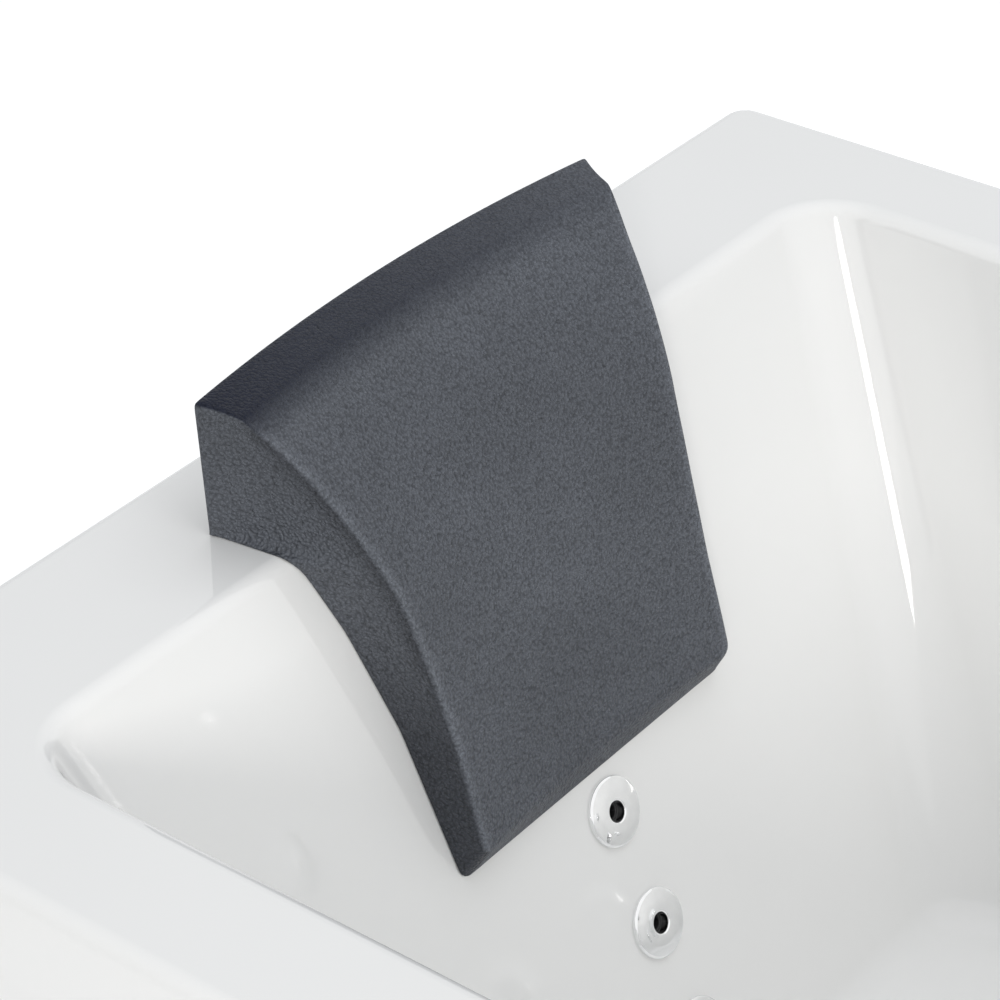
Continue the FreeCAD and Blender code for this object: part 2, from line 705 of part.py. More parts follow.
def jet_body(name, sleeve, bore, long, ports, places):
    """A jet's fixed body: sleeve through the wall, closed chamber and pipe ports across it.
    ports lists (set back, lift, half length, pipe radius)."""
    shell_part = turned(f"{name}_shell", [
        (bore, f"-{long}/2"), (bore, "0"), (sleeve, "0"), (sleeve, f"-{long}"),
        ("0", f"-{long}"), ("0", f"-{long}/2")])
    outside, inside = [], []
    for set_back, lift, half, size in ports:
        outside.append(rod(f"{size} + socket_fit + socket_wall",
                           (f"-{half}", lift, f"-{set_back}"), f"2*{half}", "x"))
        inside.append(rod(f"{size} + socket_fit", (f"-{half} - 1", lift, f"-{set_back}"),
                          f"2*{half} + 2", "x"))
    return place(cut(fuse(shell_part, *outside), *inside), *places[0], turn=places[1])


def lock_nut(sleeve, places, wall="nut_wall", thick="nut_thick"):
    """The hexagonal nut that clamps a fitting against the shell's dry face."""
    low = f"-shell_wall - {thick}"
    nut = cut(hexagon(f"2*({sleeve} + {wall})", ("0", "0", low), thick),
              rod(f"{sleeve} + thread_fit", ("0", "0", f"{low} - 1"), f"{thick} + 2"))
    return place(nut, *places[0], turn=places[1])


NUTS = []
TRIMS = []


def back_jets():
    """Small fixed jets: a domed chrome face whose neck screws into the body behind."""
    bodies = []
    for number, depth in enumerate(BACK_JET_DEPTHS, 1):
        x, z = behind_head_wall(depth, "0")
        places = ((x, "0", z), HEAD_TURN)
        bodies.append(jet_body(f"back_body_{number}", "back_sleeve", "back_bore", "back_length",
                               [("back_port_set", "0", "back_port_half", "back_pipe")], places))
        NUTS.append(lock_nut("back_sleeve", places))
        neck = "(back_bore - thread_fit)"
        face = turned(f"back_face_{number}", [
            (neck, "-12"), (neck, "0"), ("back_face - 0.5", "0"), ("back_face", "1"),
            ("back_face - 1.6", "back_dome - 2"), ("back_orifice + 1.2", "back_dome", "60"),
            ("back_orifice", "back_dome - 0.6"), ("back_orifice", "-12")])
        TRIMS.append(place(face, *places[0], turn=places[1]))
    node("back_jet_bodies", *bodies)


def side_jets():
    """Escutcheon rings hold a barrel nozzle that tips up and down in its seat."""
    bodies = []
    number = 0
    for side, sign, turn in WALLS:
        for x in SIDE_JET_XS:
            number += 1
            y, z = behind_side_wall("side_jet_depth", "0")
            places = ((x, sign + y, z), turn)
            ports = [("side_port_set", "side_port_lift", "side_port_half", "water_pipe"),
                     ("air_port_set", "0", "side_port_half", "air_pipe")]
            bodies.append(jet_body(f"side_body_{number}", "side_sleeve", "side_bore",
                                   "side_length", ports, places))
            NUTS.append(lock_nut("side_sleeve", places))
            low = "(nozzle_sink + nozzle + 3)"
            blank = turned(f"side_ring_{number}", [
                ("0", f"-{low}"), ("side_bore - thread_fit", f"-{low}"),
                ("side_bore - thread_fit", "0"), ("side_face", "0"), ("side_face", "2"),
                ("side_bore", "5.2"), ("0", "5.2")])
            seat = rod("nozzle + turn_gap", ("-nozzle_half - turn_gap", "0", "-nozzle_sink"),
                       "2*(nozzle_half + turn_gap)", "x")
            feed = rod("nozzle - 3", ("0", "0", f"-{low} - 1"), low)
            TRIMS.append(place(cut(blank, seat, feed), *places[0], turn=turn))
            barrel = rod("nozzle", ("-nozzle_half", "0", "0"), "2*nozzle_half", "x")
            bore = rod("nozzle_bore", ("0", "0", "-2*nozzle"), "4*nozzle")
            spot_y, spot_z = behind_side_wall("side_jet_depth", "nozzle_sink")
            node(f"side_jet_nozzle_{number}",
                 place(cut(barrel, bore), x, sign + spot_y, spot_z, turn=turn))
    node("side_jet_bodies", *bodies)
    node("jet_faces", *TRIMS)


# ---------------------------------------------------------------- pipes

SEAT = "(elbow_leg - socket_depth)"
PUMP_Y = "((motor_high + volute_high)/2)"


def pipe(radius, wall, start, long, along):
    """A straight length of pipe."""
    inside = list(start)
    axis = "xyz".index(along)
    inside[axis] = f"{start[axis]} - 1"
    return cut(rod(radius, start, long, along),
               rod(f"{radius} - {wall}", inside, f"{long} + 2", along))


def elbow(radius, corner, first, second, leg="elbow_leg"):
    """A mitred, socketed elbow: first and second name its legs' directions, such as '+x'."""
    outer = f"({radius} + socket_fit + socket_wall)"
    bore = f"({radius} - water_wall)"

    def leg_rod(size, sign, along, start, stop):
        spot = list(corner)
        axis = "xyz".index(along)
        spot[axis] = f"{corner[axis]} {sign} ({start if sign == '+' else stop})"
        return rod(size, spot, f"({stop}) - ({start})", along)

    legs = [leg_rod(outer, sign, along, "0", leg) for sign, along in (first, second)]
    mitre = common(*[leg_rod(outer, "+", along, f"-{outer}", outer)
                     for sign, along in (first, second)])
    tools = [leg_rod(bore, sign, along, f"-{bore}", leg) for sign, along in (first, second)]
    tools += [leg_rod(f"{radius} + socket_fit", sign, along, f"{leg} - socket_depth",
                      f"{leg} + 1") for sign, along in (first, second)]
    return cut(fuse(*legs, mitre), *tools)


def water_pipes():
    """The pressure side: a header behind the back rest, and a run along each long wall.
    The suction side: one run along the open wall side back to the pump's inlet."""
    header = rod("water_pipe", ("pump_x", f"-{WATER_Y} + {SEAT}", WATER_Z),
                 f"2*({WATER_Y} - {SEAT})", "y")
    header_bore = rod("water_pipe - water_wall", ("pump_x", f"-{WATER_Y}", WATER_Z),
                      f"2*{WATER_Y}", "y")
    riser_low = f"({PUMP_Z} + boss_rise)"
    riser = rod("water_pipe", ("pump_x", PUMP_Y, riser_low), f"{WATER_Z} - {riser_low}")
    riser_bore = rod("water_pipe - water_wall", ("pump_x", PUMP_Y, f"{riser_low} - 1"),
                     f"{WATER_Z} - {riser_low}")
    node("water_header", cut(fuse(header, riser), header_bore, riser_bore))
    elbows, runs = [], []
    for side, sign, turn in WALLS:
        y = f"({sign}{WATER_Y})"
        inward = ("+", "y") if sign else ("-", "y")
        elbows.append(elbow("water_pipe", ("pump_x", y, WATER_Z), inward, ("+", "x")))
        starts = [f"(pump_x + {SEAT})", "(-side_jet_spread + side_port_half - socket_depth)"]
        stops = ["(-side_jet_spread - side_port_half + socket_depth)",
                 "(side_jet_spread - side_port_half + socket_depth)"]
        for start, stop in zip(starts, stops):
            runs.append(pipe("water_pipe", "water_wall", (start, y, WATER_Z),
                             f"{stop} - {start}", "x"))
        runs.append(rod("water_pipe", ("side_jet_spread + side_port_half - socket_depth", y,
                                       WATER_Z), "socket_depth + 4", "x"))
    low_corner = ("pump_x", SUCTION_Y, PUMP_Z)
    far_corner = ("suction_x", SUCTION_Y, PUMP_Z)
    elbows.append(elbow("water_pipe", low_corner, ("-", "y"), ("+", "x")))
    elbows.append(elbow("water_pipe", far_corner, ("-", "x"), ("+", "z")))
    elbows.append(elbow("waste_pipe", ("drain_x", OVERFLOW_Y, "trap_axis_z"), ("+", "z"),
                        ("-", "y")))
    for side, sign, turn in WALLS:
        elbows.append(elbow("air_pipe", ("air_loop_x", f"({sign}{AIR_Y})", AIR_Z), ("-", "x"),
                            ("-", "y") if not sign else ("+", "y"), "air_elbow"))
    node("pipe_elbows", *elbows)
    node("water_side_pipes", *runs)
    inlet = "(volute_high + 25)"
    node("suction_pipes",
         pipe("water_pipe", "water_wall", ("pump_x", inlet, PUMP_Z),
              f"{SUCTION_Y} - {SEAT} - {inlet}", "y"),
         pipe("water_pipe", "water_wall", (f"pump_x + {SEAT}", SUCTION_Y, PUMP_Z),
              f"suction_x - pump_x - 2*{SEAT}", "x"),
         pipe("water_pipe", "water_wall", ("suction_x", SUCTION_Y, f"{PUMP_Z} + {SEAT}"),
              "2*socket_depth - 4", "z"))


def back_jet_pipes():
    """Short tubes that chain the back jets, the upper one with a branch from the header."""
    low = "(back_port_half - socket_depth)"
    tubes = []
    for i in range(2):
        x, z = behind_head_wall(BACK_JET_DEPTHS[i], "back_port_set")
        tubes.append(place(rod("back_pipe", "000", f"back_jet_pitch - 2*{low}"),
                           f"{x} + {low}*sin(head_slope)", "0", f"{z} - {low}*cos(head_slope)",
                           turn=spin((0, 1, 0), 180 - val("head_slope"))))
    gap = ("((" + head_wall("0") + f" - pump_x)*cos(head_slope) + (tub_height - {WATER_Z})"
           "*sin(head_slope) - back_port_set)")
    branch = place(rod("back_pipe - 1", "000", gap), "pump_x", "0", WATER_Z, turn=HEAD_TURN)
    header = rod("water_pipe", ("pump_x", "-2*water_pipe", WATER_Z), "4*water_pipe", "y")
    node("back_jet_pipes", cut(fuse(tubes[0], branch), header), tubes[1])


def bent_tube(name, spots, radius, bend):
    """A tube through straight runs, joined at each corner by an arc of one bend radius."""
    points = [Vector(*(val(c) for c in spot)) for spot in spots]
    edges = []
    last = points[0]
    for i in range(1, len(points) - 1):
        here = points[i]
        before = (points[i - 1] - here).normalize()
        after = (points[i + 1] - here).normalize()
        half = before.getAngle(after) / 2
        first = here + before * (val(bend) / math.tan(half))
        second = here + after * (val(bend) / math.tan(half))
        inwards = (before + after).normalize()
        middle = here + inwards * (val(bend) / math.sin(half) - val(bend))
        edges += [Part.LineSegment(last, first).toShape(), Part.Arc(first, middle, second).toShape()]
        last = second
    edges.append(Part.LineSegment(last, points[-1]).toShape())
    ring = Part.Wire(Part.Circle(points[0], points[1] - points[0], val(radius)).toShape())
    return part_feature(name, Part.Wire(edges).makePipeShell([ring], True, False))


def air_pipes():
    """The air side: a run along each long wall, one across the foot end, and a drop from
    the regulator on the deck."""
    runs = []
    for side, sign, turn in WALLS:
        y = f"({sign}{AIR_Y})"
        start = "(-side_jet_spread + side_port_half - socket_depth)"
        stop = "(side_jet_spread - side_port_half + socket_depth)"
        runs.append(pipe("air_pipe", "air_wall", (start, y, AIR_Z), f"{stop} - {start}", "x"))
        runs.append(rod("air_pipe", ("-side_jet_spread - side_port_half - 4", y, AIR_Z),
                        "socket_depth + 4", "x"))
    start = "side_jet_spread + side_port_half - socket_depth"
    seat = "(air_elbow - socket_depth)"
    for side, sign, turn in WALLS:
        runs.append(pipe("air_pipe", "air_wall", (start, f"({sign}{AIR_Y})", AIR_Z),
                         f"air_loop_x - {seat} - ({start})", "x"))
    runs.append(pipe("air_pipe", "air_wall", ("air_loop_x", f"-{AIR_Y} + {seat}", AIR_Z),
                     f"2*({AIR_Y} - {seat})", "y"))
    node("air_pipes", *runs)
    drop = bent_tube("air_drop", [
        ("regulator_x", CONTROL_Y, "tub_height - 66"),
        ("regulator_x", CONTROL_Y, "tub_height - 160"),
        ("regulator_x", f"{AIR_Y} + 24", f"{AIR_Z} + 70"), ("regulator_x", AIR_Y, AIR_Z)],
        "air_pipe - 1", "40")
    side_run = rod("air_pipe", ("regulator_x - 30", AIR_Y, AIR_Z), "60", "x")
    node("air_drop_pipe", cut(drop, side_run))


def signal_tube():
    """The thin air tube from the push button to the pump's switch, clipped below the deck."""
    high = "(tub_height - 110)"
    rail_x = "(pump_x - 30)"
    rail_y = "(tub_width/2 - 80)"
    node("signal_tube", bent_tube("signal_line", [
        ("button_x", CONTROL_Y, "tub_height - 60"), ("button_x", CONTROL_Y, high),
        (rail_x, rail_y, high), (rail_x, "motor_low + 104", high),
        (rail_x, "motor_low + 104", f"{PUMP_Z} + motor_radius + 34")],
        "signal_tube", "24"))


def suction_fitting():
    """A cup in the back wall with a slotted safety cover, and a port down to the pipe."""
    y, z = behind_side_wall("suction_depth", "0")
    shell_part = turned("suction_shell", [
        ("suction_cup - 3", "-suction_length + 4"), ("suction_cup - 3", "0"),
        ("suction_cup", "0"), ("suction_cup", "-suction_length"), ("0", "-suction_length"),
        ("0", "-suction_length + 4")])
    place(shell_part, "suction_x", y, z, turn=BACK_WALL_TURN)
    port_low = f"({PUMP_Z} + elbow_leg)"
    port = rod("water_pipe + socket_fit + socket_wall", ("suction_x", SUCTION_Y, port_low),
               f"{SUCTION_Z} - {port_low}")
    core = place(rod("suction_cup - 3", "000", "suction_length"),
                 "suction_x", f"{y} + (suction_length - 4)*cos(side_slope)",
                 f"{z} - (suction_length - 4)*sin(side_slope)", turn=BACK_WALL_TURN)
    socket = rod("water_pipe + socket_fit", ("suction_x", SUCTION_Y, f"{port_low} - 1"),
                 "socket_depth - 3")
    bore = rod("water_pipe - water_wall", ("suction_x", SUCTION_Y, port_low),
               f"{SUCTION_Z} - {port_low}")
    node("suction_body", cut(fuse(shell_part, port), core, socket, bore))
    cover = turned("suction_cover", [
        ("0", "6"), ("0", "9"), ("suction_cover - 9", "9"), ("suction_cover - 9", "4"),
        ("suction_cover", "4"), ("suction_cover", "0"), ("suction_cover - 12", "0"),
        ("suction_cover - 12", "6")])
    low, high, half = "10", "suction_cover - 16", "suction_slot/2"
    ringed("cover_slots", cover, [(low, f"-{half}"), (high, f"-{half}"), (high, half),
                                  (low, half)], "9", "14", rise="-1")
    node("suction_cover", place(cover, "suction_x", y, z, turn=BACK_WALL_TURN))


# ---------------------------------------------------------------- drain and overflow

def drain():
    floor_z = "(tub_height - basin_depth)"
    tail = "(drain_bore + drain_wall)"
    low = f"(trap_axis_z + 44 - {floor_z})"
    flange = turned("drain_cup", [
        ("drain_bore", low), ("drain_bore", "2"), ("drain_flange", "2"),
        ("drain_flange", "0"), (tail, "0"), (tail, low)])
    spider = [block(("-drain_bore - 1", "-2", "-14"), ("2*drain_bore + 2", "4", "6")),
              rod("plug_stem + 3", ("0", "0", "-20"), "14")]
    guide = rod("plug_stem + plug_fit", ("0", "0", "-30"), "40")
    node("drain_flange", place(cut(fuse(flange, *spider), guide), "drain_x", "drain_y", floor_z))
    plug = turned("drain_plug", [
        ("0", "-30"), ("plug_stem", "-30"), ("plug_stem", "2.3"), ("drain_bore + 3", "2.3"),
        ("drain_bore + 3", "6.5"), ("0", "6.5")])
    node("drain_plug", place(plug, "drain_x", "drain_y", floor_z))
    axis = ("drain_x", "drain_y", "trap_axis_z")
    bottle = rod("trap_radius", ("drain_x", "drain_y", "trap_axis_z - 34"), "70")
    neck = rod(f"{tail} + 6", axis, "58")
    inlet = rod("waste_pipe + socket_fit + socket_wall", axis, "trap_radius + 24", "y")
    spigot_x = "(drain_x - trap_radius - trap_spigot_length)"
    spigot = rod("trap_spigot", (spigot_x, *axis[1:]), "trap_radius + trap_spigot_length", "x")
    collar = rod("trap_spigot + 5", ("drain_x - trap_radius - trap_collar + 4", *axis[1:]),
                 "trap_collar + trap_radius/2", "x")
    tools = [rod("trap_radius - 4", ("drain_x", "drain_y", "trap_axis_z - 30"), "60"),
             rod(f"{tail} + socket_fit", axis, "60"),
             rod("waste_pipe + socket_fit", axis, "trap_radius + 26", "y"),
             rod("trap_spigot - 2.5", (f"{spigot_x} - 1", *axis[1:]),
                 "trap_radius + trap_spigot_length", "x")]
    node("drain_trap", cut(fuse(bottle, neck, inlet, spigot, collar), *tools))


def overflow():
    """Inlet ring and turning knob on the wet face, chamber behind, pipe down to the trap."""
    y, z = behind_side_wall("overflow_depth", "0")
    places = (("drain_x", y, z), BACK_WALL_TURN)
    ring = turned("overflow_ring", [
        ("overflow_body - 3", "-8"), ("overflow_body - 3", "3"), ("overflow_plate", "3"),
        ("overflow_plate", "0"), ("overflow_body", "0"), ("overflow_body", "-8")])
    node("overflow_ring", place(ring, *places[0], turn=places[1]))
    knob = turned("overflow_knob", [
        ("0", "-34"), ("spindle", "-34"), ("spindle", "6"), ("overflow_knob", "6"),
        ("overflow_knob", "17"), ("0", "17")])
    node("overflow_knob", place(knob, *places[0], turn=places[1]))
    long = "(overflow_pipe_set + waste_pipe + 4)"
    chamber = rod("overflow_body", ("0", "0", f"-{long}"), f"{long} - 8")
    hollow = rod("overflow_body - 3", ("0", "0", "-26"), "40")
    bore = rod("spindle + spindle_fit", ("0", "0", "-38"), "60")
    fixed = place(cut(chamber, hollow, bore), *places[0], turn=places[1])
    top = f"{OVERFLOW_Z} - 46"
    socket = rod("waste_pipe + socket_fit + socket_wall", ("drain_x", OVERFLOW_Y, top), "46")
    drill = rod("waste_pipe + socket_fit", ("drain_x", OVERFLOW_Y, f"{top} - 1"), "17")
    node("overflow_body", cut(fuse(fixed, socket), drill))
    node("overflow_pipes",
         pipe("waste_pipe", "water_wall", ("drain_x", OVERFLOW_Y, f"trap_axis_z + {SEAT}"),
              f"{OVERFLOW_Z} - 30 - trap_axis_z - {SEAT}", "z"),
         pipe("waste_pipe", "water_wall", ("drain_x", "drain_y + trap_radius + 8",
                                           "trap_axis_z"),
              f"{OVERFLOW_Y} - {SEAT} - drain_y - trap_radius - 8", "y"))


# ---------------------------------------------------------------- deck controls

CONTROLS = ("regulator_x", "button_x")


def deck_controls():
    """An air regulator to turn and an air button to press, on the far deck."""
    seats = []
    for number, x in enumerate(CONTROLS):
        places = ((x, CONTROL_Y, "tub_height"), None)
        seat = turned(f"control_seat_{number}", [
            ("control_bore", "-36"), ("control_bore", "2.6"), ("control_bezel", "2.6"),
            ("control_bezel", "0"), ("control_sleeve", "0"), ("control_sleeve", "-50"),
            ("6", "-50"), ("6", "-60"), ("0", "-60"), ("0", "-36")])
        seats.append(place(seat, *places[0]))
        NUTS.append(lock_nut("control_sleeve", places))
    drain_spot = (("drain_x", "drain_y", "tub_height - basin_depth"), None)
    NUTS.append(lock_nut("(drain_bore + drain_wall)", drain_spot, "8", "12"))
    node("control_seats", *seats)
    node("lock_nuts", *NUTS)
    knob = turned("air_regulator_knob", [
        ("0", "-24"), ("control_bore - plug_fit", "-24"), ("control_bore - plug_fit", "3.4"),
        ("knob_radius", "3.4"), ("knob_radius", "knob_tall"), ("0", "knob_tall")])
    node("air_regulator_knob", place(knob, "regulator_x", CONTROL_Y, "tub_height"))
    button = turned("air_button", [
        ("0", "-28"), ("7", "-28"), ("7", "-8"), ("button_radius", "-8"),
        ("button_radius", "button_proud"), ("0", "button_proud")])
    node("air_button", place(button, "button_x", CONTROL_Y, "tub_height"))


# ---------------------------------------------------------------- pump

def pump():
    shelf_low = f"({RAIL_UNDER} - shelf_thick)"
    node("pump_shelf", block(("pump_x - shelf_head", "-rail_offset - rail/2", shelf_low),
                             ("shelf_head + shelf_foot", "2*rail_offset + rail",
                              "shelf_thick")))
    long = "(motor_high - motor_low)"
    core = "(motor_radius - motor_rib)"
    motor = turned("motor", [("shaft + shaft_fit", "0"), (core, "0"), (core, long),
                             ("shaft + shaft_fit", long)])
    ringed("motor_ribs", motor, [
        (f"{core} - 2", "-1.5"), ("motor_radius", "-1.5"), ("motor_radius", "1.5"),
        (f"{core} - 2", "1.5")], "rib_count", long, cutting=False)
    node("pump_motor", place(motor, "pump_x", "motor_low", PUMP_Z, turn=ALONG["y"]))
    plate = block(("pump_x - 56", "motor_low + 12", RAIL_UNDER), ("112", "150", "5"))
    saddles = [block(("pump_x - 44", y, RAIL_UNDER), ("88", "14", "pump_axis - 24"))
               for y in ("motor_low + 24", "motor_low + 132")]
    seat = rod("motor_radius", ("pump_x", "motor_low - 5", PUMP_Z), f"{long} + 10", "y")
    node("pump_base", cut(fuse(plate, *saddles), seat))
    cover = turned("fan_cover", [
        ("0", "-fan_cover_long"), ("motor_radius", "-fan_cover_long"), ("motor_radius", "0"),
        ("motor_radius - 2", "0"), ("motor_radius - 2", "2 - fan_cover_long"),
        ("0", "2 - fan_cover_long")])
    ringed("cover_vents", cover, [("16", "-4"), ("motor_radius - 12", "-4"),
                                  ("motor_radius - 12", "4"), ("16", "4")], "6", "6",
           rise="-fan_cover_long - 2")
    node("pump_fan_cover", place(cover, "pump_x", "motor_low", PUMP_Z, turn=ALONG["y"]))
    tail = "(motor_low - fan_cover_long + 10)"
    nose = "(volute_high - volute_wall - 6)"
    disc = f"({nose} - 4 - impeller_thick)"
    hub = "(fan_radius - 24)"
    rotor = turned("rotor", [
        ("0", tail), ("shaft", tail), ("shaft", "motor_low - 24"), (hub, "motor_low - 24"),
        (hub, "motor_low - 8"), ("shaft", "motor_low - 8"), ("shaft", disc),
        ("impeller_radius", disc), ("impeller_radius", f"{disc} + 4"),
        ("shaft + 5", f"{disc} + 4"), ("shaft", nose), ("0", nose)])
    ringed("fan_blades", rotor, [(f"{hub} - 2", "-1"), ("fan_radius", "-1"),
                                 ("fan_radius", "1"), (f"{hub} - 2", "1")], "6", "14",
           rise="motor_low - 23", cutting=False)
    ringed("impeller_vanes", rotor, [("shaft + 3", "-1.5"), ("impeller_radius - 1", "-1.5"),
                                     ("impeller_radius - 1", "1.5"), ("shaft + 3", "1.5")], "6",
           "impeller_thick - 5", rise=f"{disc} + 3", cutting=False)
    node("pump_rotor", place(rotor, "pump_x", "0", PUMP_Z, turn=ALONG["y"]))
    case = rod("volute_radius", ("pump_x", "motor_high", PUMP_Z), "volute_high - motor_high", "y")
    inlet = rod("boss_radius", ("pump_x", PUMP_Y, PUMP_Z), f"volute_high + 25 - {PUMP_Y}", "y")
    outlet = rod("boss_radius", ("pump_x", PUMP_Y, PUMP_Z), "boss_rise")
    chamber = rod("chamber_radius", ("pump_x", "motor_high + volute_wall", PUMP_Z),
                  "volute_high - motor_high - 2*volute_wall", "y")
    bore = "water_pipe - water_wall"
    tools = [chamber, rod(bore, ("pump_x", PUMP_Y, PUMP_Z), "200", "y"),
             rod(bore, ("pump_x", PUMP_Y, PUMP_Z), "200"),
             rod("shaft + shaft_fit", ("pump_x", "motor_high - 1", PUMP_Z), "30", "y")]
    node("pump_volute", cut(fuse(case, inlet, outlet), *tools))
    unions = []
    for along, start in (("y", ("pump_x", "volute_high + 25", PUMP_Z)),
                         ("z", ("pump_x", PUMP_Y, f"{PUMP_Z} + boss_rise"))):
        union = cut(hexagon("2*union_radius", "000", "union_long"),
                    rod("water_pipe + socket_fit", ("0", "0", "-1"), "union_long + 2"))
        unions.append(place(union, *start, turn=ALONG[along]))
    node("pump_unions", *unions)
    box_low = ("pump_x - 34", "motor_low + 50", PUMP_Z)
    box = block(box_low, ("68", "84", "motor_radius + 34"))
    clear = rod("motor_radius", ("pump_x", "motor_low", PUMP_Z), "200", "y")
    gland_z = f"{PUMP_Z} + motor_radius + 16"
    gland = rod("9", ("pump_x + 34", "motor_low + 92", gland_z), "14", "x")
    entry = rod("4", ("pump_x + 38", "motor_low + 92", gland_z), "12", "x")
    node("terminal_box", cut(fuse(box, gland), clear, entry))


# ---------------------------------------------------------------- build, check and write

bath_shell()
base_board()
frame()
levelling_feet()
front_panel()
end_panels()
panel_clips()
head_cushion()
back_jets()
side_jets()
water_pipes()
back_jet_pipes()
air_pipes()
signal_tube()
suction_fitting()
drain()
overflow()
deck_controls()
pump()
doc.recompute()

faults = [item.Name for item in doc.Objects
          if "Invalid" in item.State or "Error" in item.State]
for item in NODES:
    if item.Shape.isNull() or not item.Shape.isValid() or not item.Shape.Solids:
        faults.append(item.Label)
if faults:
    raise RuntimeError(f"failed objects: {faults}")
os.makedirs("parts", exist_ok=True)
for item in NODES:
    item.Shape.exportStep(f"parts/{item.Label}.step")
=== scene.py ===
import json
import math

import bpy
import numpy as np
from bpy.props import FloatProperty, FloatVectorProperty
from mathutils import Matrix, Vector


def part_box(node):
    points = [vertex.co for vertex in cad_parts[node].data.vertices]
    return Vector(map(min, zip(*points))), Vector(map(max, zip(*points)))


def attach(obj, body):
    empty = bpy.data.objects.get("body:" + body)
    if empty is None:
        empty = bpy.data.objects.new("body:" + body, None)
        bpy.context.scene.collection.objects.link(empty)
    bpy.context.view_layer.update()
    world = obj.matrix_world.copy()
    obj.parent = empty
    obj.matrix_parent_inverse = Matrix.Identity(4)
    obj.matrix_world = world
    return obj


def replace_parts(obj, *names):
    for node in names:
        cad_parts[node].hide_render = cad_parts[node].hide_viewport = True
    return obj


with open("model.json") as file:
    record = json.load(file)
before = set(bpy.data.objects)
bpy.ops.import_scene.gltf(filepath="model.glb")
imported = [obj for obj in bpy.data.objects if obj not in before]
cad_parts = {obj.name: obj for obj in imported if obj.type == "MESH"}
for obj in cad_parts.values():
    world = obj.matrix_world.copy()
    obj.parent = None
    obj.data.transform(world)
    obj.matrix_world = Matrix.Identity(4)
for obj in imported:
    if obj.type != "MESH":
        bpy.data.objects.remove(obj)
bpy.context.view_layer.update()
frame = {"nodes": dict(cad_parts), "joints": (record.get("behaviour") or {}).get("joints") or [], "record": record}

bl_info = {
    "name": "Jetted bathtub",
    "version": (1, 0, 0),
    "blender": (4, 5, 0),
    "location": "View3D > Sidebar > Bathtub",
    "description": "Dresses the packed solids of a jetted bathtub with a head cushion",
    "category": "Add Mesh",
}

JOINTS = {joint["name"]: joint for joint in frame["joints"]}
SLOTS = {part["node"]: part["material_slot"] for part in frame["record"]["subparts"]}
SHELL_LOW, SHELL_HIGH = (np.array(corner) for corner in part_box("bath_shell"))
HALF_LONG = SHELL_HIGH[0]
HALF_WIDE = SHELL_HIGH[1]
DECK_Z = SHELL_HIGH[2]
MM = 0.001
QUARTER = math.pi / 2
AROUND = 96
DRILL_AROUND = 64
ARC_POINTS = 5
SHARP = 32


def size(label, default, text):
    """A length that a user would change, in metres."""
    return FloatProperty(name=label, default=default, description=text, unit="LENGTH", min=0.0)


def angle(label, default, text):
    """An angle that a user would change, given in degrees."""
    return FloatProperty(name=label, default=math.radians(default), description=text,
                         subtype="ANGLE")


def tint(label, default, text):
    """A linear colour that a user would change."""
    return FloatVectorProperty(name=label, default=default, description=text, size=3,
                               subtype="COLOR", min=0.0, max=1.0)


class BathSizes(bpy.types.PropertyGroup):
    """Sizes of the moulded shell and of the trims on its walls."""

    end_deck: size("End deck", 0.115, "Width of the level rim at the head and the foot")
    side_deck: size("Side deck", 0.082, "Width of the level rim along the long sides")
    depth: size("Depth", 0.430, "Depth of the basin below the deck")
    wall: size("Wall", 0.006, "Thickness of the moulded shell")
    lip: size("Lip", 0.060, "Height of the rim's outer face")
    outer_corner: size("Outer corner", 0.018, "Radius of the deck's corners seen from above")
    edge_round: size("Edge round", 0.010, "Radius between the deck and its outer face")
    rim_round: size("Rim round", 0.012, "Radius between the deck and the basin's walls")
    corner_round: size("Corner round", 0.045, "Radius of the basin's upright corners")
    floor_round: size("Floor round", 0.030, "Radius between the walls and the floor")
    head_slope: angle("Head slope", 25, "Lean of the back rest from upright")
    side_slope: angle("Side slope", 14, "Lean of the other walls from upright")
    jet_depth: size("Jet depth", 0.229, "Depth of the highest back jet below the deck")
    jet_pitch: size("Jet pitch", 0.078, "Distance between back jets along the back rest")
    jet_radius: size("Jet radius", 0.022, "Radius of the back jets' chrome faces")
    jet_bore: size("Jet bore", 0.0066, "Radius of the back jets' openings")
    suction_depth: size("Suction depth", 0.340, "Depth of the suction fitting below the deck")
    ring_radius: size("Ring radius", 0.032, "Radius of the side jets' escutcheon rings")
    grain: size("Grain", 0.0019, "Width of one pebble of the leather's grain")


class BathColours(bpy.types.PropertyGroup):
    """Colours of the tub's finishes."""

    acrylic: tint("Acrylic", (0.87, 0.868, 0.855), "Gloss white of the moulded shell")
    leather: tint("Leather", (0.112, 0.121, 0.141), "Dark grey of the head cushion")
    # the top band's colour is painted shade: near-black navy where the skin turns over the top, away from the
    # light
    top_shade_colour: tint("Leather top", (0.009, 0.012, 0.024), "Navy of the cushion's top band")
    chrome: tint("Chrome", (0.945, 0.95, 0.955), "Polished metal of jets and trims")
    black: tint("Black plastic", (0.012, 0.012, 0.013), "Pump casings, clips and jet throats")
    steel: tint("Frame steel", (0.30, 0.31, 0.33), "Painted frame under the shell")
    wood: tint("Plywood", (0.55, 0.40, 0.24), "Base board and pump shelf")
    zinc: tint("Zinc", (0.52, 0.53, 0.54), "Plated feet and nuts")
    pipe: tint("Pipe", (0.78, 0.78, 0.76), "White plastic pipes and fittings")
    hose: tint("Hose", (0.52, 0.55, 0.58), "Grey air tubes")
    rubber: tint("Rubber", (0.03, 0.03, 0.03), "Grommets of the cushion's pegs")
    motor: tint("Motor", (0.42, 0.44, 0.47), "Cast housing of the pump's motor")
    floor: tint("Floor", (0.93, 0.93, 0.93), "Studio floor")


# ---------------------------------------------------------------- surfaces

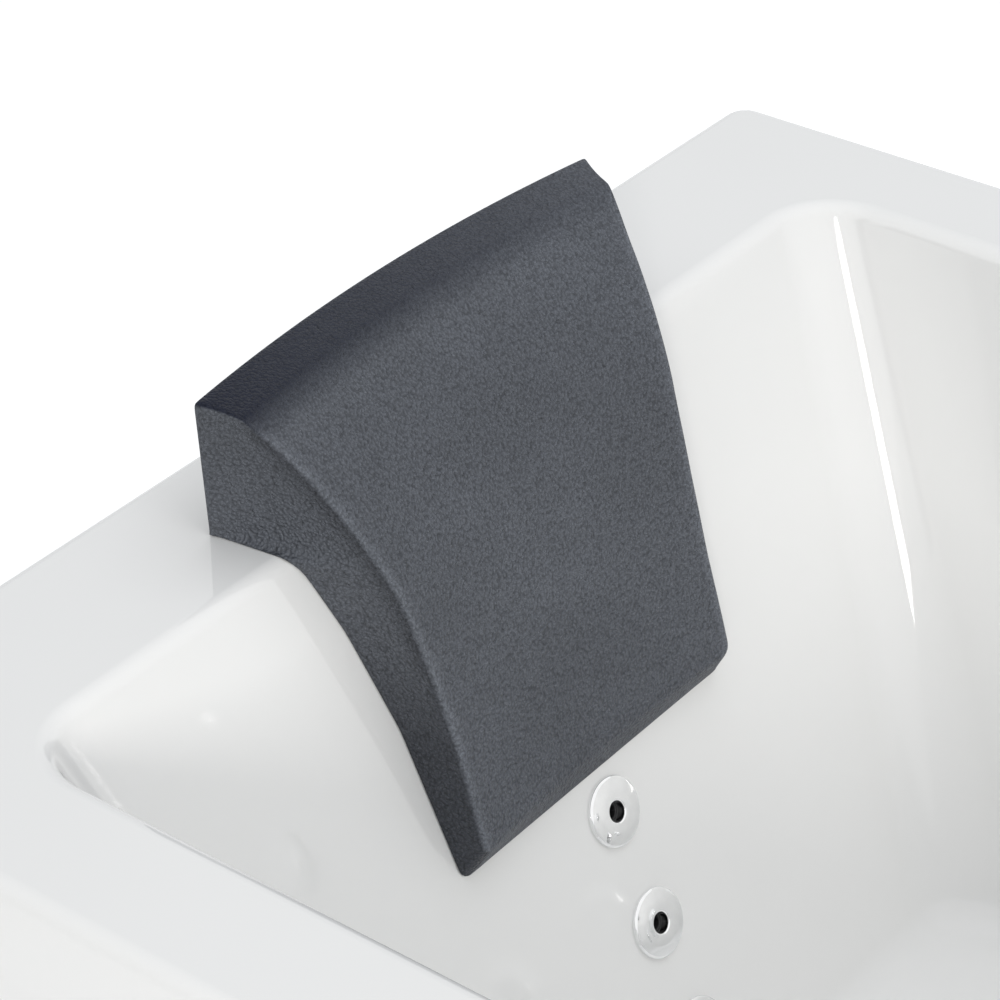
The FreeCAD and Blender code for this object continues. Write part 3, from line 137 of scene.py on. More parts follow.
def shown(name, data):
    """A new object in the scene."""
    item = bpy.data.objects.new(name, data)
    bpy.context.scene.collection.objects.link(item)
    return item


def mesh_of(name, points, faces):
    """A mesh from an array of points and a list of faces."""
    mesh = bpy.data.meshes.new(name)
    mesh.from_pydata(points.tolist(), [], faces)
    mesh.update()
    return mesh


def applied(piece):
    """The mesh that a piece's modifiers leave, as plain geometry."""
    return bpy.data.meshes.new_from_object(
        piece.evaluated_get(bpy.context.evaluated_depsgraph_get()))


def solid(name, points, faces, body, slot):
    """Makes a piece of a body from corner points and faces, with its faces outward."""
    return finished(name, mesh_of(name, points, faces), body, slot)


def finished(name, mesh, body, slot, sharp=SHARP):
    """Turns a mesh's faces outward, shades it smooth up to an angle in degrees and hangs it on
    a body. The sum of a . (b x c) over outward triangles is six times the volume, above 0."""
    mesh.calc_loop_triangles()
    corners = np.zeros(len(mesh.vertices) * 3)
    mesh.vertices.foreach_get("co", corners)
    triangles = np.zeros(len(mesh.loop_triangles) * 3, dtype=np.int32)
    mesh.loop_triangles.foreach_get("vertices", triangles)
    a, b, c = corners.reshape(-1, 3)[triangles.reshape(-1, 3)].transpose(1, 0, 2)
    if np.einsum("ij,ij->i", a, np.cross(b, c)).sum() < 0:
        mesh.flip_normals()
    mesh.polygons.foreach_set("use_smooth", np.ones(len(mesh.polygons), dtype=bool))
    mesh.set_sharp_from_angle(angle=math.radians(sharp))
    piece = shown(name, mesh)
    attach(piece, body)
    piece.data.materials.append(finish(slot))
    return piece


def strip(rows, closed=False):
    """Points and quads of a surface through rows of points; each row is a closed ring. A
    closed surface joins its last row to its first, an open one is shut by a fan at each end."""
    count, wide = rows.shape[:2]
    number = np.arange(count * wide).reshape(count, wide)
    beside = np.roll(number, -1, axis=1)
    below, below_beside = np.roll(number, -1, axis=0), np.roll(beside, -1, axis=0)
    last = count if closed else count - 1
    quads = np.stack([number, beside, below_beside, below], axis=-1)[:last]
    points = rows.reshape(-1, 3)
    faces = quads.reshape(-1, 4).tolist()
    if not closed:
        points = np.vstack([points, rows[0].mean(axis=0), rows[-1].mean(axis=0)])
        start = np.stack([beside[0], number[0], np.full(wide, count * wide)], axis=-1)
        end = np.stack([number[-1], beside[-1], np.full(wide, count * wide + 1)], axis=-1)
        faces += start.tolist() + end.tolist()
    return points, faces


def softened(corners, steps=ARC_POINTS):
    """An outline through (radius, height, round) corners in millimetres. An arc tangent to
    both sides rounds a corner: its centre lies on the bisector, at round / sin(corner / 2)."""
    spots = np.array([corner[:2] for corner in corners], dtype=float)
    line = []
    for number, spot in enumerate(spots):
        bend = corners[number][2] if len(corners[number]) > 2 else 0
        back = spots[number - 1] - spot
        ahead = spots[(number + 1) % len(spots)] - spot
        if not bend or number in (0, len(spots) - 1):
            line.append(spot[None])
            continue
        back, ahead = back / np.linalg.norm(back), ahead / np.linalg.norm(ahead)
        half = math.acos(np.clip(back @ ahead, -1, 1)) / 2
        inward = (back + ahead) / np.linalg.norm(back + ahead)
        centre = spot + inward * bend / math.sin(half)
        share = np.linspace(-1, 1, steps)[:, None] * (QUARTER - half)
        across = (ahead - back) / np.linalg.norm(ahead - back)
        line.append(centre + bend * (across * np.sin(share) - inward * np.cos(share)))
    return np.vstack(line) * MM


def lathe(outline, around=AROUND):
    """Rows of an outline of (radius, height) turned about the local Z axis."""
    turn = np.linspace(0, 2 * math.pi, around, endpoint=False)
    radius, height = outline[:, 0, None], outline[:, 1, None]
    return np.stack([radius * np.cos(turn), radius * np.sin(turn),
                     height + np.zeros_like(turn)], axis=-1)


def moved(rows, place):
    """Rows of points taken from a local frame to the tub's frame."""
    spin = np.array(place.to_3x3())
    return rows @ spin.T + np.array(place.translation)


def turned_piece(name, corners, place, body="tub", slot="chrome_trim", closed=False,
                 around=AROUND):
    """A lathe-turned piece: a closed outline leaves a hole through it, an open one is solid."""
    rows = moved(lathe(softened(corners), around), place)
    return solid(name, *strip(rows, closed), body, slot)


def drill(radius, low, high, place):
    """Points and faces of a plain cylinder along the local Z axis, for cutting."""
    rows = lathe(np.array([[radius, low], [radius, high]]), DRILL_AROUND)
    return strip(moved(rows, place))


def block(low, high, place):
    """Points and faces of a box between two local corners, for cutting."""
    low, high = np.array(low), np.array(high)
    ring = np.array([[0, 0], [1, 0], [1, 1], [0, 1]])
    flat = low[:2] + ring * (high - low)[:2]
    rows = np.stack([np.column_stack([flat, np.full(4, level)]) for level in (low[2], high[2])])
    return strip(moved(rows, place))


def drilled(piece, tools, sharp=SHARP):
    """Takes the tools' volumes out of a piece and keeps the result as plain geometry."""
    points, faces = [], []
    for spots, sides in tools:
        start = sum(len(part) for part in points)
        points.append(spots)
        faces += [[corner + start for corner in side] for side in sides]
    mesh = mesh_of("tools", np.vstack(points), faces)
    cutter = shown("tools", mesh)
    modifier = piece.modifiers.new("holes", "BOOLEAN")
    modifier.operation = "DIFFERENCE"
    modifier.solver = "EXACT"
    modifier.object = cutter
    result = applied(piece)
    piece.modifiers.remove(modifier)
    old, piece.data = piece.data, result
    result.set_sharp_from_angle(angle=math.radians(sharp))
    bpy.data.objects.remove(cutter)
    bpy.data.meshes.remove(mesh)
    bpy.data.meshes.remove(old)
    return piece


def evened(piece):
    """Lets wide flat faces rule the shading next to small rounds."""
    modifier = piece.modifiers.new("even shading", "WEIGHTED_NORMAL")
    modifier.keep_sharp = True
    modifier.weight = 100


# ---------------------------------------------------------------- where things lie

# the side jets' nozzles turn about hinges this deep behind the wall's face, in millimetres
NOZZLE_SINK = 5.0


def lean_frame(x, y, z, about_x=0.0, about_y=0.0, about_z=0.0):
    """A local frame at a point, its Z axis turned from upright by three angles."""
    return (Matrix.Translation((x, y, z)) @ Matrix.Rotation(about_z, 4, "Z")
            @ Matrix.Rotation(about_y, 4, "Y") @ Matrix.Rotation(about_x, 4, "X"))


def head_frame(sizes, depth):
    """On the back rest's middle line at a depth, Z out of the wall into the basin."""
    x = -HALF_LONG + sizes.end_deck + depth * math.tan(sizes.head_slope)
    return lean_frame(x, 0, DECK_Z - depth, about_y=QUARTER - sizes.head_slope)


def side_frame(sizes, x, depth, back=True):
    """On a long wall at a depth, Z out of the wall into the basin."""
    y = HALF_WIDE - sizes.side_deck - depth * math.tan(sizes.side_slope)
    return lean_frame(x, y if back else -y, DECK_Z - depth, QUARTER - sizes.side_slope,
                      about_z=0.0 if back else math.pi)


def box_middle(node):
    """The middle of a solid's box seen from above."""
    low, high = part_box(node)
    return (low[0] + high[0]) / 2, (low[1] + high[1]) / 2


def joint_spot(name):
    """A hinge's place in the tub's frame."""
    return np.array(JOINTS[name]["pos_m"])


def side_jets(sizes):
    """Number and wall frame of the four side jets, which lie ahead of their nozzles' hinges."""
    jets = []
    for number in range(1, 5):
        spot = joint_spot(f"nozzle_{number}_tilt")
        place = side_frame(sizes, spot[0], 0.0, spot[1] > 0)
        place.translation = Vector(spot)
        jets.append((number, place @ Matrix.Translation((0, 0, NOZZLE_SINK * MM))))
    return jets


def back_jet_depths(sizes):
    """Depths of the three back jets below the deck, from the highest."""
    pitch = sizes.jet_pitch * math.cos(sizes.head_slope)
    return [sizes.jet_depth + number * pitch for number in range(3)]


def suction_frame(sizes):
    """The suction cover's seat, low on the far wall."""
    return side_frame(sizes, box_middle("suction_cover")[0], sizes.suction_depth)


def overflow_frame(sizes):
    """The overflow's seat on the far wall, at its knob's hinge."""
    spot = joint_spot("overflow_knob_turn")
    return side_frame(sizes, spot[0], DECK_Z - spot[2])


def control_frames():
    """Seats of the air regulator and of the push button on the deck."""
    return [lean_frame(*box_middle(node), DECK_Z) for node in ("air_regulator_knob", "air_button")]


def waste_frame(sizes):
    """The waste's seat on the basin's floor."""
    return lean_frame(*box_middle("drain_plug"), DECK_Z - sizes.depth)


# ---------------------------------------------------------------- finishes

# sockets of a Mix node that mixes colours
FIRST_COLOUR = 6
SECOND_COLOUR = 7
MIXED_COLOUR = 2

# sockets of a Mix node that mixes vectors
FIRST_VECTOR = 4
SECOND_VECTOR = 5
MIXED_VECTOR = 1


class Recipe:
    """Builds one material's nodes: a shader fed by textures in the object's own frame."""

    def __init__(self, name):
        self.material = bpy.data.materials.new(name)
        self.material.use_nodes = True
        self.tree = self.material.node_tree
        self.tree.nodes.clear()
        self.output = self.add("OutputMaterial")
        self.shader = self.add("BsdfPrincipled")
        self.link(self.shader, "BSDF", self.output, "Surface")
        self.place = self.add("TexCoord")

    def add(self, kind, **settings):
        """A new shader node with its settings."""
        node = self.tree.nodes.new(f"ShaderNode{kind}")
        for key, value in settings.items():
            setattr(node, key, value)
        return node

    def link(self, source, output, target, name):
        """Joins a node's output to another node's input."""
        self.tree.links.new(source.outputs[output], target.inputs[name])

    def noise(self, scale, detail=4.0, stretch=(1, 1, 1), rough=0.55):
        """Cloudy noise; scale is in features per metre and stretch squeezes it by axis."""
        texture = self.add("TexNoise")
        texture.inputs["Scale"].default_value = scale
        texture.inputs["Detail"].default_value = detail
        texture.inputs["Roughness"].default_value = rough
        if stretch == (1, 1, 1):
            self.link(self.place, "Object", texture, "Vector")
            return texture
        mapping = self.add("Mapping")
        mapping.inputs["Scale"].default_value = stretch
        self.link(self.place, "Object", mapping, "Vector")
        self.link(mapping, "Vector", texture, "Vector")
        return texture

    def spread(self, source, low, high, start=0.3, stop=0.7, output="Fac"):
        """Maps a texture's value, from start to stop, to a range of numbers."""
        ranged = self.add("MapRange")
        for key, value in (("From Min", start), ("From Max", stop), ("To Min", low),
                           ("To Max", high)):
            ranged.inputs[key].default_value = value
        self.link(source, output, ranged, "Value")
        return ranged

    def shade(self, source, first, second, start=0.3, stop=0.7, output="Fac"):
        """Mixes two colours by a texture's value."""
        mix = self.add("Mix", data_type="RGBA")
        mix.inputs[FIRST_COLOUR].default_value = (*first, 1)
        mix.inputs[SECOND_COLOUR].default_value = (*second, 1)
        factor = self.spread(source, 0.0, 1.0, start, stop, output)
        self.link(factor, 0, mix, 0)
        return mix

    def times(self, first, second, share=1.0):
        """Multiplies one mixed colour by a share of another."""
        mix = self.add("Mix", data_type="RGBA", blend_type="MULTIPLY")
        mix.inputs[0].default_value = share
        self.link(first, MIXED_COLOUR, mix, FIRST_COLOUR)
        self.link(second, MIXED_COLOUR, mix, SECOND_COLOUR)
        return mix

    def colour(self, mix):
        """Gives the shader a mixed colour."""
        self.link(mix, MIXED_COLOUR, self.shader, "Base Color")

    def number(self, name, value):
        """Sets one of the shader's numbers."""
        self.shader.inputs[name].default_value = value

    def rough(self, source, low, high):
        """Spreads the roughness from low to high by a noise."""
        self.link(self.spread(source, low, high), "Result", self.shader, "Roughness")

    def bump(self, source, height, strength=1.0, after=None, output="Fac"):
        """Raises the surface by a texture's value, up to a height in metres."""
        node = self.add("Bump")
        node.inputs["Distance"].default_value = height
        node.inputs["Strength"].default_value = strength
        self.link(source, output, node, "Height")
        if after:
            self.link(after, "Normal", node, "Normal")
        self.link(node, "Normal", self.shader, "Normal")
        return node


def near(colour, factor):
    """The same colour, a little darker or lighter."""
    return tuple(min(1.0, part * factor) for part in colour)


def acrylic(recipe, colour):
    """Gloss white gel coat with faint clouds, a trace of orange peel and light handling marks."""
    clouds = recipe.noise(scale=3.0, detail=3)
    recipe.colour(recipe.shade(clouds, near(colour, 0.985), near(colour, 1.01)))
    recipe.rough(recipe.noise(scale=9.0, detail=5), 0.025, 0.06)
    recipe.number("IOR", 1.49)
    recipe.number("Coat Weight", 0.35)
    recipe.number("Coat Roughness", 0.03)
    recipe.bump(recipe.noise(scale=14.0, detail=2), height=0.00012, strength=0.35)


def leather(recipe, colour):
    """Pebbled moulded skin: rounded cells parted by fine crease lines, with broad soft clouds,
    painted light on the pebbles and painted shade in the lines between them, a painted highlight
    along the face's edges beside the sides, painted shadow on the sides, and a darker band of
    painted shade where the skin turns over the top."""
    scene = bpy.context.scene
    grain = scene.bath_sizes.grain
    clouds = recipe.noise(scale=7.0, detail=5)
    clouded = recipe.shade(clouds, near(colour, 0.84), near(colour, 1.18))
    wrinkles = recipe.noise(scale=0.55 / grain, detail=3, rough=0.6)
    cells = recipe.add("TexVoronoi", feature="SMOOTH_F1")
    cells.inputs["Scale"].default_value = 1 / grain
    cells.inputs["Smoothness"].default_value = 0.4
    warp = recipe.add("Mix", data_type="VECTOR", factor_mode="UNIFORM")
    warp.inputs[0].default_value = 0.0012
    recipe.link(recipe.place, "Object", warp, FIRST_VECTOR)
    recipe.link(wrinkles, "Color", warp, SECOND_VECTOR)
    recipe.link(warp, MIXED_VECTOR, cells, "Vector")
    # painted light and shade of the grain: the pebbles' middles are lightened and the lines between them darkened
    painted_grain_shade = recipe.shade(cells, (1.18, 1.18, 1.18), (0.62, 0.62, 0.62), 0.15, 0.8, "Distance")
    # painted light and shade: lightens the face along its side edges as a painted highlight and darkens the sides
    # as painted shadow, deeper towards the toe
    welt = recipe.add("Attribute", attribute_name="welt")
    painted_lighting = recipe.shade(welt, (0.45, 0.45, 0.46), (1.55, 1.55, 1.52), -1.0, 1.0)
    skin = recipe.times(recipe.times(clouded, painted_grain_shade), painted_lighting)
    # painted shade: the top band is mixed towards near-black navy, most at its left end
    crown = recipe.add("Attribute", attribute_name="crown")
    banded = recipe.add("Mix", data_type="RGBA")
    banded.inputs[SECOND_COLOUR].default_value = (*scene.bath_colours.top_shade_colour, 1)
    recipe.link(crown, "Fac", banded, 0)
    recipe.link(skin, MIXED_COLOUR, banded, FIRST_COLOUR)
    recipe.colour(banded)
    recipe.rough(wrinkles, 0.42, 0.58)
    recipe.number("Specular IOR Level", 0.22)
    waves = recipe.bump(recipe.noise(scale=45.0, detail=3), height=0.0010, strength=0.4)
    folds = recipe.bump(wrinkles, height=0.0016, strength=0.8, after=waves)
    recipe.bump(cells, height=-0.0018, after=folds, output="Distance")


def chrome(recipe, colour):
    """Polished plate with faint water marks."""
    marks = recipe.noise(scale=160.0, detail=4)
    recipe.colour(recipe.shade(marks, near(colour, 0.97), near(colour, 1.02)))
    recipe.number("Metallic", 1.0)
    recipe.rough(recipe.noise(scale=90.0, detail=5), 0.03, 0.10)


def moulded(recipe, colour, scale=260.0, rough=(0.35, 0.5), height=0.00008):
    """Injection-moulded plastic with a fine satin texture."""
    clouds = recipe.noise(scale=24.0, detail=4)
    recipe.colour(recipe.shade(clouds, near(colour, 0.92), near(colour, 1.06)))
    fine = recipe.noise(scale=scale, detail=3)
    recipe.rough(fine, *rough)
    recipe.bump(fine, height=height, strength=0.5)


def rubber(recipe, colour):
    """Matt rubber with a finer and deeper texture than the plastics."""
    moulded(recipe, colour, scale=500.0, rough=(0.7, 0.85), height=0.0001)


def painted(recipe, colour):
    """Powder paint: a pebbly coat with dusty patches."""
    dust = recipe.noise(scale=14.0, detail=6)
    recipe.colour(recipe.shade(dust, near(colour, 0.85), near(colour, 1.10)))
    recipe.rough(dust, 0.38, 0.55)
    recipe.bump(recipe.noise(scale=900.0, detail=2), height=0.00005, strength=0.6)


def brushed(recipe, colour):
    """Plated steel with drawn lines and dull patches."""
    lines = recipe.noise(scale=40.0, detail=5, stretch=(1, 1, 22))
    recipe.colour(recipe.shade(lines, near(colour, 0.88), near(colour, 1.08)))
    recipe.number("Metallic", 1.0)
    recipe.rough(lines, 0.26, 0.42)
    recipe.bump(lines, height=0.00003, strength=0.4)


def cast(recipe, colour):
    """Die-cast aluminium, grainy and slightly stained."""
    stain = recipe.noise(scale=20.0, detail=6)
    recipe.colour(recipe.shade(stain, near(colour, 0.84), near(colour, 1.06)))
    recipe.number("Metallic", 0.85)
    recipe.rough(stain, 0.40, 0.58)
    recipe.bump(recipe.noise(scale=700.0, detail=2), height=0.00008, strength=0.6)


def plywood(recipe, colour):
    """Long grain on the faces and thin plies across the edges."""
    grain = recipe.noise(scale=5.0, detail=8, stretch=(1.2, 14, 60), rough=0.65)
    plies = recipe.add("TexWave", wave_type="BANDS", bands_direction="Z")
    plies.inputs["Scale"].default_value = 60.0
    plies.inputs["Distortion"].default_value = 0.6
    recipe.link(recipe.place, "Object", plies, "Vector")
    veneer = recipe.shade(grain, near(colour, 0.72), near(colour, 1.12))
    edges = recipe.shade(plies, (0.78, 0.72, 0.66), (1.0, 1.0, 1.0))
    recipe.colour(recipe.times(veneer, edges, share=0.6))
    recipe.rough(grain, 0.60, 0.78)
    recipe.bump(grain, height=0.0002, strength=0.5)


FINISHES = {
    "shell_acrylic": (acrylic, "acrylic"),
    "cushion_skin": (leather, "leather"),
    "black_plastic": (moulded, "black"),
    "chrome_trim": (chrome, "chrome"),
    "frame_steel": (painted, "steel"),
    "plywood": (plywood, "wood"),
    "zinc_steel": (brushed, "zinc"),
    "pipe_plastic": (moulded, "pipe"),
    "hose_plastic": (moulded, "hose"),
    "rubber_grey": (rubber, "rubber"),
    "motor_aluminium": (cast, "motor"),
    "rotor_steel": (brushed, "zinc"),
}


def finish(slot):
    """The material of a slot, made once."""
    name = f"{slot}_finish"
    if name in bpy.data.materials:
        return bpy.data.materials[name]
    recipe = Recipe(name)
    paint, colour = FINISHES[slot]
    paint(recipe, tuple(getattr(bpy.context.scene.bath_colours, colour)))
    return recipe.material


# ---------------------------------------------------------------- the moulded shell

CORNER_STEPS = 13
ROUND_STEPS = 9
WALL_STEPS = 8
EDGE_STEPS = 8
SHELL_SHARP = 40

# each point of a ring belongs to one of four corners, and looks outward along its turn
TURNS = np.concatenate([np.linspace(0, QUARTER, CORNER_STEPS) + k * QUARTER for k in range(4)])
SIGNS = np.repeat([[1, 1], [-1, 1], [-1, -1], [1, -1]], CORNER_STEPS, axis=0)
OUTWARD = np.column_stack([np.cos(TURNS), np.sin(TURNS)])

# radii of the shell's holes in millimetres, a little over the sleeves that they take
BACK_JET_HOLE = 13.3
SIDE_JET_HOLE = 24.3
SUCTION_HOLE = 34.3
OVERFLOW_HOLE = 24.3
CONTROL_HOLE = 17.3
WASTE_HOLE = 25.3


def plan(low_x, high_x, half_y, radius, grow=0.0):
    """A rounded rectangle seen from above, moved outward by grow: each point lies at its
    corner's middle plus its outward direction times the radius and grow."""
    middle = np.where(SIGNS > 0, [high_x - radius, half_y - radius],
                      [low_x + radius, radius - half_y])
    return middle + OUTWARD * (radius + np.reshape(grow, (-1, 1)))


def at(flat, z):
    """Points of a plan lifted to a height."""
    return np.column_stack([flat, np.broadcast_to(z, len(flat))])


def wet_plan(sizes, depth, grow=0.0):
    """The basin's plan at a depth: each wall draws in by depth times its slope's tangent."""
    side_in = depth * math.tan(sizes.side_slope)
    return plan(-HALF_LONG + sizes.end_deck + depth * math.tan(sizes.head_slope),
                HALF_LONG - sizes.end_deck - side_in,
                HALF_WIDE - sizes.side_deck - side_in, sizes.corner_round, grow)


def leans(sizes):
    """Each ring point's wall slope, blended round the corners of the head end."""
    share = np.clip(-OUTWARD[:, 0], 0, 1) ** 2
    return sizes.side_slope + (sizes.head_slope - sizes.side_slope) * share


def basin_rows(sizes, grow, rim):
    """Rings down one face of the basin, a wall's thickness outside the wet face where grow is
    set: a rounded rim, sloping walls and a rounded foot, all tangent to one another."""
    lean = leans(sizes)
    out = grow / np.cos(lean)
    rows = []
    if rim:
        reach = rim * np.tan((QUARTER - lean) / 2)
        for share in np.linspace(0, 1, ROUND_STEPS):
            turn = share * (QUARTER - lean)
            rows.append(at(wet_plan(sizes, 0, reach - rim * np.sin(turn)),
                           DECK_Z - rim * (1 - np.cos(turn))))
    else:
        rows.append(at(wet_plan(sizes, grow, out), DECK_Z - grow))
    low = sizes.depth + grow
    foot = sizes.floor_round + grow
    reach = foot * np.tan((QUARTER - lean) / 2)
    arc = []
    for share in np.linspace(0, 1, ROUND_STEPS):
        turn = lean + share * (QUARTER - lean)
        arc.append(at(wet_plan(sizes, low, out - reach + foot * np.cos(turn)),
                      DECK_Z - low + foot - foot * np.sin(turn)))
    wall = np.linspace(rows[-1], arc[0], WALL_STEPS)[1:-1]
    return rows + list(wall) + arc


def deck_rows(sizes):
    """Rings from the deck's flat over its rounded edge, down the lip and back under it."""
    half = (-HALF_LONG, HALF_LONG, HALF_WIDE, sizes.outer_corner)
    edge = sizes.edge_round
    rows = [at(plan(*half, -edge * (1 - math.sin(turn))), DECK_Z - edge * (1 - math.cos(turn)))
            for turn in np.linspace(0, QUARTER, EDGE_STEPS)]
    low = DECK_Z - sizes.lip
    rows.append(at(plan(*half), low))
    rows.append(at(plan(*half, -sizes.wall), low))
    rows.append(at(plan(*half, -sizes.wall), DECK_Z - sizes.wall))
    return rows


def shell_holes(sizes):
    """Drills for the fittings that go through the shell."""
    holes = [(BACK_JET_HOLE, head_frame(sizes, depth)) for depth in back_jet_depths(sizes)]
    holes += [(SIDE_JET_HOLE, place) for _, place in side_jets(sizes)]
    holes += [(SUCTION_HOLE, suction_frame(sizes)), (OVERFLOW_HOLE, overflow_frame(sizes))]
    holes += [(CONTROL_HOLE, place) for place in control_frames()]
    holes.append((WASTE_HOLE, waste_frame(sizes)))
    reach = 4 * sizes.wall
    return [drill(radius * MM, -reach, reach, place) for radius, place in holes]


def make_shell(sizes):
    """One closed skin: up the basin's wet face, over the deck and the lip, and down its dry
    face, with the fittings' holes drilled through."""
    wet = basin_rows(sizes, 0.0, sizes.rim_round)
    dry = basin_rows(sizes, sizes.wall, 0.0)
    rows = np.array(wet[::-1] + deck_rows(sizes) + dry)
    piece = solid("tub_shell", *strip(rows), "tub", "shell_acrylic")
    drilled(piece, shell_holes(sizes), SHELL_SHARP)
    evened(piece)
    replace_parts(piece, "bath_shell")


# ---------------------------------------------------------------- head cushion

# The cushion's section, as (distance from the head end, height over the deck) in millimetres:
# the face is two arcs, and the back lies on the deck and the back rest.
CUSHION_FRONT = ((85.6, 88.0), (132.4, 38.1), (166.4, -19.7), (193.2, -100.5), (215.0, -182.5))
CUSHION_BACK = ((58.2, 94.6), (53.5, 0.5), (115.2, 0.5), (210.1, -202.8))

# Half widths of the face and of the back, as (height over the deck, half width).
FRONT_HALVES = ((-180, 123.4), (-116, 123.4), (-68, 126.5), (-20, 131.4), (16, 140.5),
                (40, 147.4), (64, 155.4), (88, 167.0))
BACK_HALVES = ((-200, 130.0), (-112, 130.5), (-50, 140.0), (-10, 151.5), (0, 159.5),
               (1, 167.0), (92, 177.2))
REST_HALF = 159.5

# The face bends across the tub about an upright axis this far from the head end.
CUSHION_AXIS = 1194.3

# The sides draw in by this much between the face and the back, and the toe is rounded.
PULL_IN = 3.2
THICK_FOAM = 60
TOE_ROUND = 6.5

# The net has small cells along every edge, and these many between them.
EDGE_CELL = 2.0
EDGE_CELLS = 5
FACE_POINTS = 40
ROWS_ALONG = 70
ROWS_THROUGH = 6
ROWS_ACROSS = 66

# The back's rows meet the deck's heel and its rim at these shares of their count.
HEEL_SHARE = 0.24
RIM_SHARE = 0.42
HEEL_ROWS = 4
HEEL_REACH = 8

# Lengths over which the dark top band's painted shade, the painted highlight along the face's edges and the
# painted shadow on the side fade out.
TOP_SHADE_FADE = 20
HIGHLIGHT_FADE = 9
SIDE_FADE = 12
SHADOW_START = 150
SHADOW_FADE = 80
SHADOW_DEPTH = 0.8

RELAX_ROUNDS = 14
RELAX_FACTOR = 0.5
HELD_WEIGHT = 0.4


def arc_through(first, middle, last, count):
    """Points of the arc through three points. Its centre lies as far from each of them: a
    linear equation in the centre for each pair."""
    spots = np.array([first, middle, last], dtype=float)
    sides = spots[1:] - spots[0]
    squares = (spots[1:] ** 2).sum(axis=1) - (spots[0] ** 2).sum()
    centre = np.linalg.solve(2 * sides, squares)
    turn = np.unwrap(np.arctan2(*(spots - centre).T[::-1]))
    turn = np.linspace(turn[0], turn[2], count)
    radius = np.linalg.norm(spots[0] - centre)
    return centre + radius * np.column_stack([np.cos(turn), np.sin(turn)])


def along(line, reach):
    """Points of a polyline at given lengths from its start, and its corners' own lengths."""
    steps = np.concatenate([[0], np.cumsum(np.linalg.norm(np.diff(line, axis=0), axis=1))])
    return np.column_stack([np.interp(reach, steps, line[:, axis]) for axis in (0, 1)]), steps


def stations(length, middle):
    """Lengths from 0 to length: small even cells near both ends, the rest shared evenly."""
    edge = EDGE_CELL * np.arange(EDGE_CELLS + 1)
    length = np.asarray(length, dtype=float)[..., None]
    inner = np.linspace(0, 1, middle + 1)[1:-1]
    between = edge[-1] + inner * (length - 2 * edge[-1])
    start = np.broadcast_to(edge, (*length.shape[:-1], len(edge)))
    return np.concatenate([start, between, length - start[..., ::-1]], axis=-1)


def box_net(counts):
    """Integer points on the faces of a box of cells, and the quads between them."""
    points, quads = [], []
    for axis in range(3):
        first, second = (axis + 1) % 3, (axis + 2) % 3
        wide, high = counts[first] + 1, counts[second] + 1
        number = np.arange(wide * high).reshape(wide, high)
        quad = np.stack([number[:-1, :-1], number[1:, :-1], number[1:, 1:], number[:-1, 1:]],
                        axis=-1).reshape(-1, 4)
        for end in (0, counts[axis]):
            grid = np.empty((wide * high, 3), dtype=int)
            grid[:, axis] = end
            grid[:, first] = np.repeat(np.arange(wide), high)
            grid[:, second] = np.tile(np.arange(high), wide)
            quads.append((quad if end else quad[:, ::-1]) + sum(len(part) for part in points))
            points.append(grid)
    unique, place = np.unique(np.vstack(points), axis=0, return_inverse=True)
    return unique, place.reshape(-1)[np.vstack(quads)]


def cushion_sections():
    """The face's and the back's lines from the top to the toe, the lengths along the face, and
    how freely the back bends across the tub: fully above the deck, and not below the rim."""
    line = np.vstack([arc_through(*CUSHION_FRONT[:3], FACE_POINTS),
                      arc_through(*CUSHION_FRONT[2:], FACE_POINTS)])
    reach = stations(along(line, 0)[1][-1], ROWS_ALONG)
    front, _ = along(line, reach)
    rows = len(reach) - 1
    back_line = np.array(CUSHION_BACK)
    _, heel_at, rim_at, toe_at = along(back_line, 0)[1]
    edge = EDGE_CELL * EDGE_CELLS
    heel, rim = int(rows * HEEL_SHARE), int(rows * RIM_SHARE)
    marks = [0, EDGE_CELLS, heel - HEEL_ROWS, heel, heel + HEEL_ROWS, rim, rows - EDGE_CELLS,
             rows]
    lengths = [0, edge, heel_at - HEEL_REACH, heel_at, heel_at + HEEL_REACH, rim_at,
               toe_at - edge, toe_at]
    number = np.arange(rows + 1)
    back, _ = along(back_line, np.interp(number, marks, lengths))
    free = np.interp(number, [0, heel, rim, rows], [1, 1, 0, 0])
    return front, back, reach, free, heel, rim


def cushion_halves(front, back, heel, rim):
    """Half widths of the face and of the back on each row."""
    face = np.interp(front[:, 1], *np.array(FRONT_HALVES).T)
    rest = np.interp(back[:, 1], *np.array(BACK_HALVES).T)
    rest[heel:rim + 1] = np.linspace(rest[heel - 1], REST_HALF, rim + 1 - heel)
    return face, rest


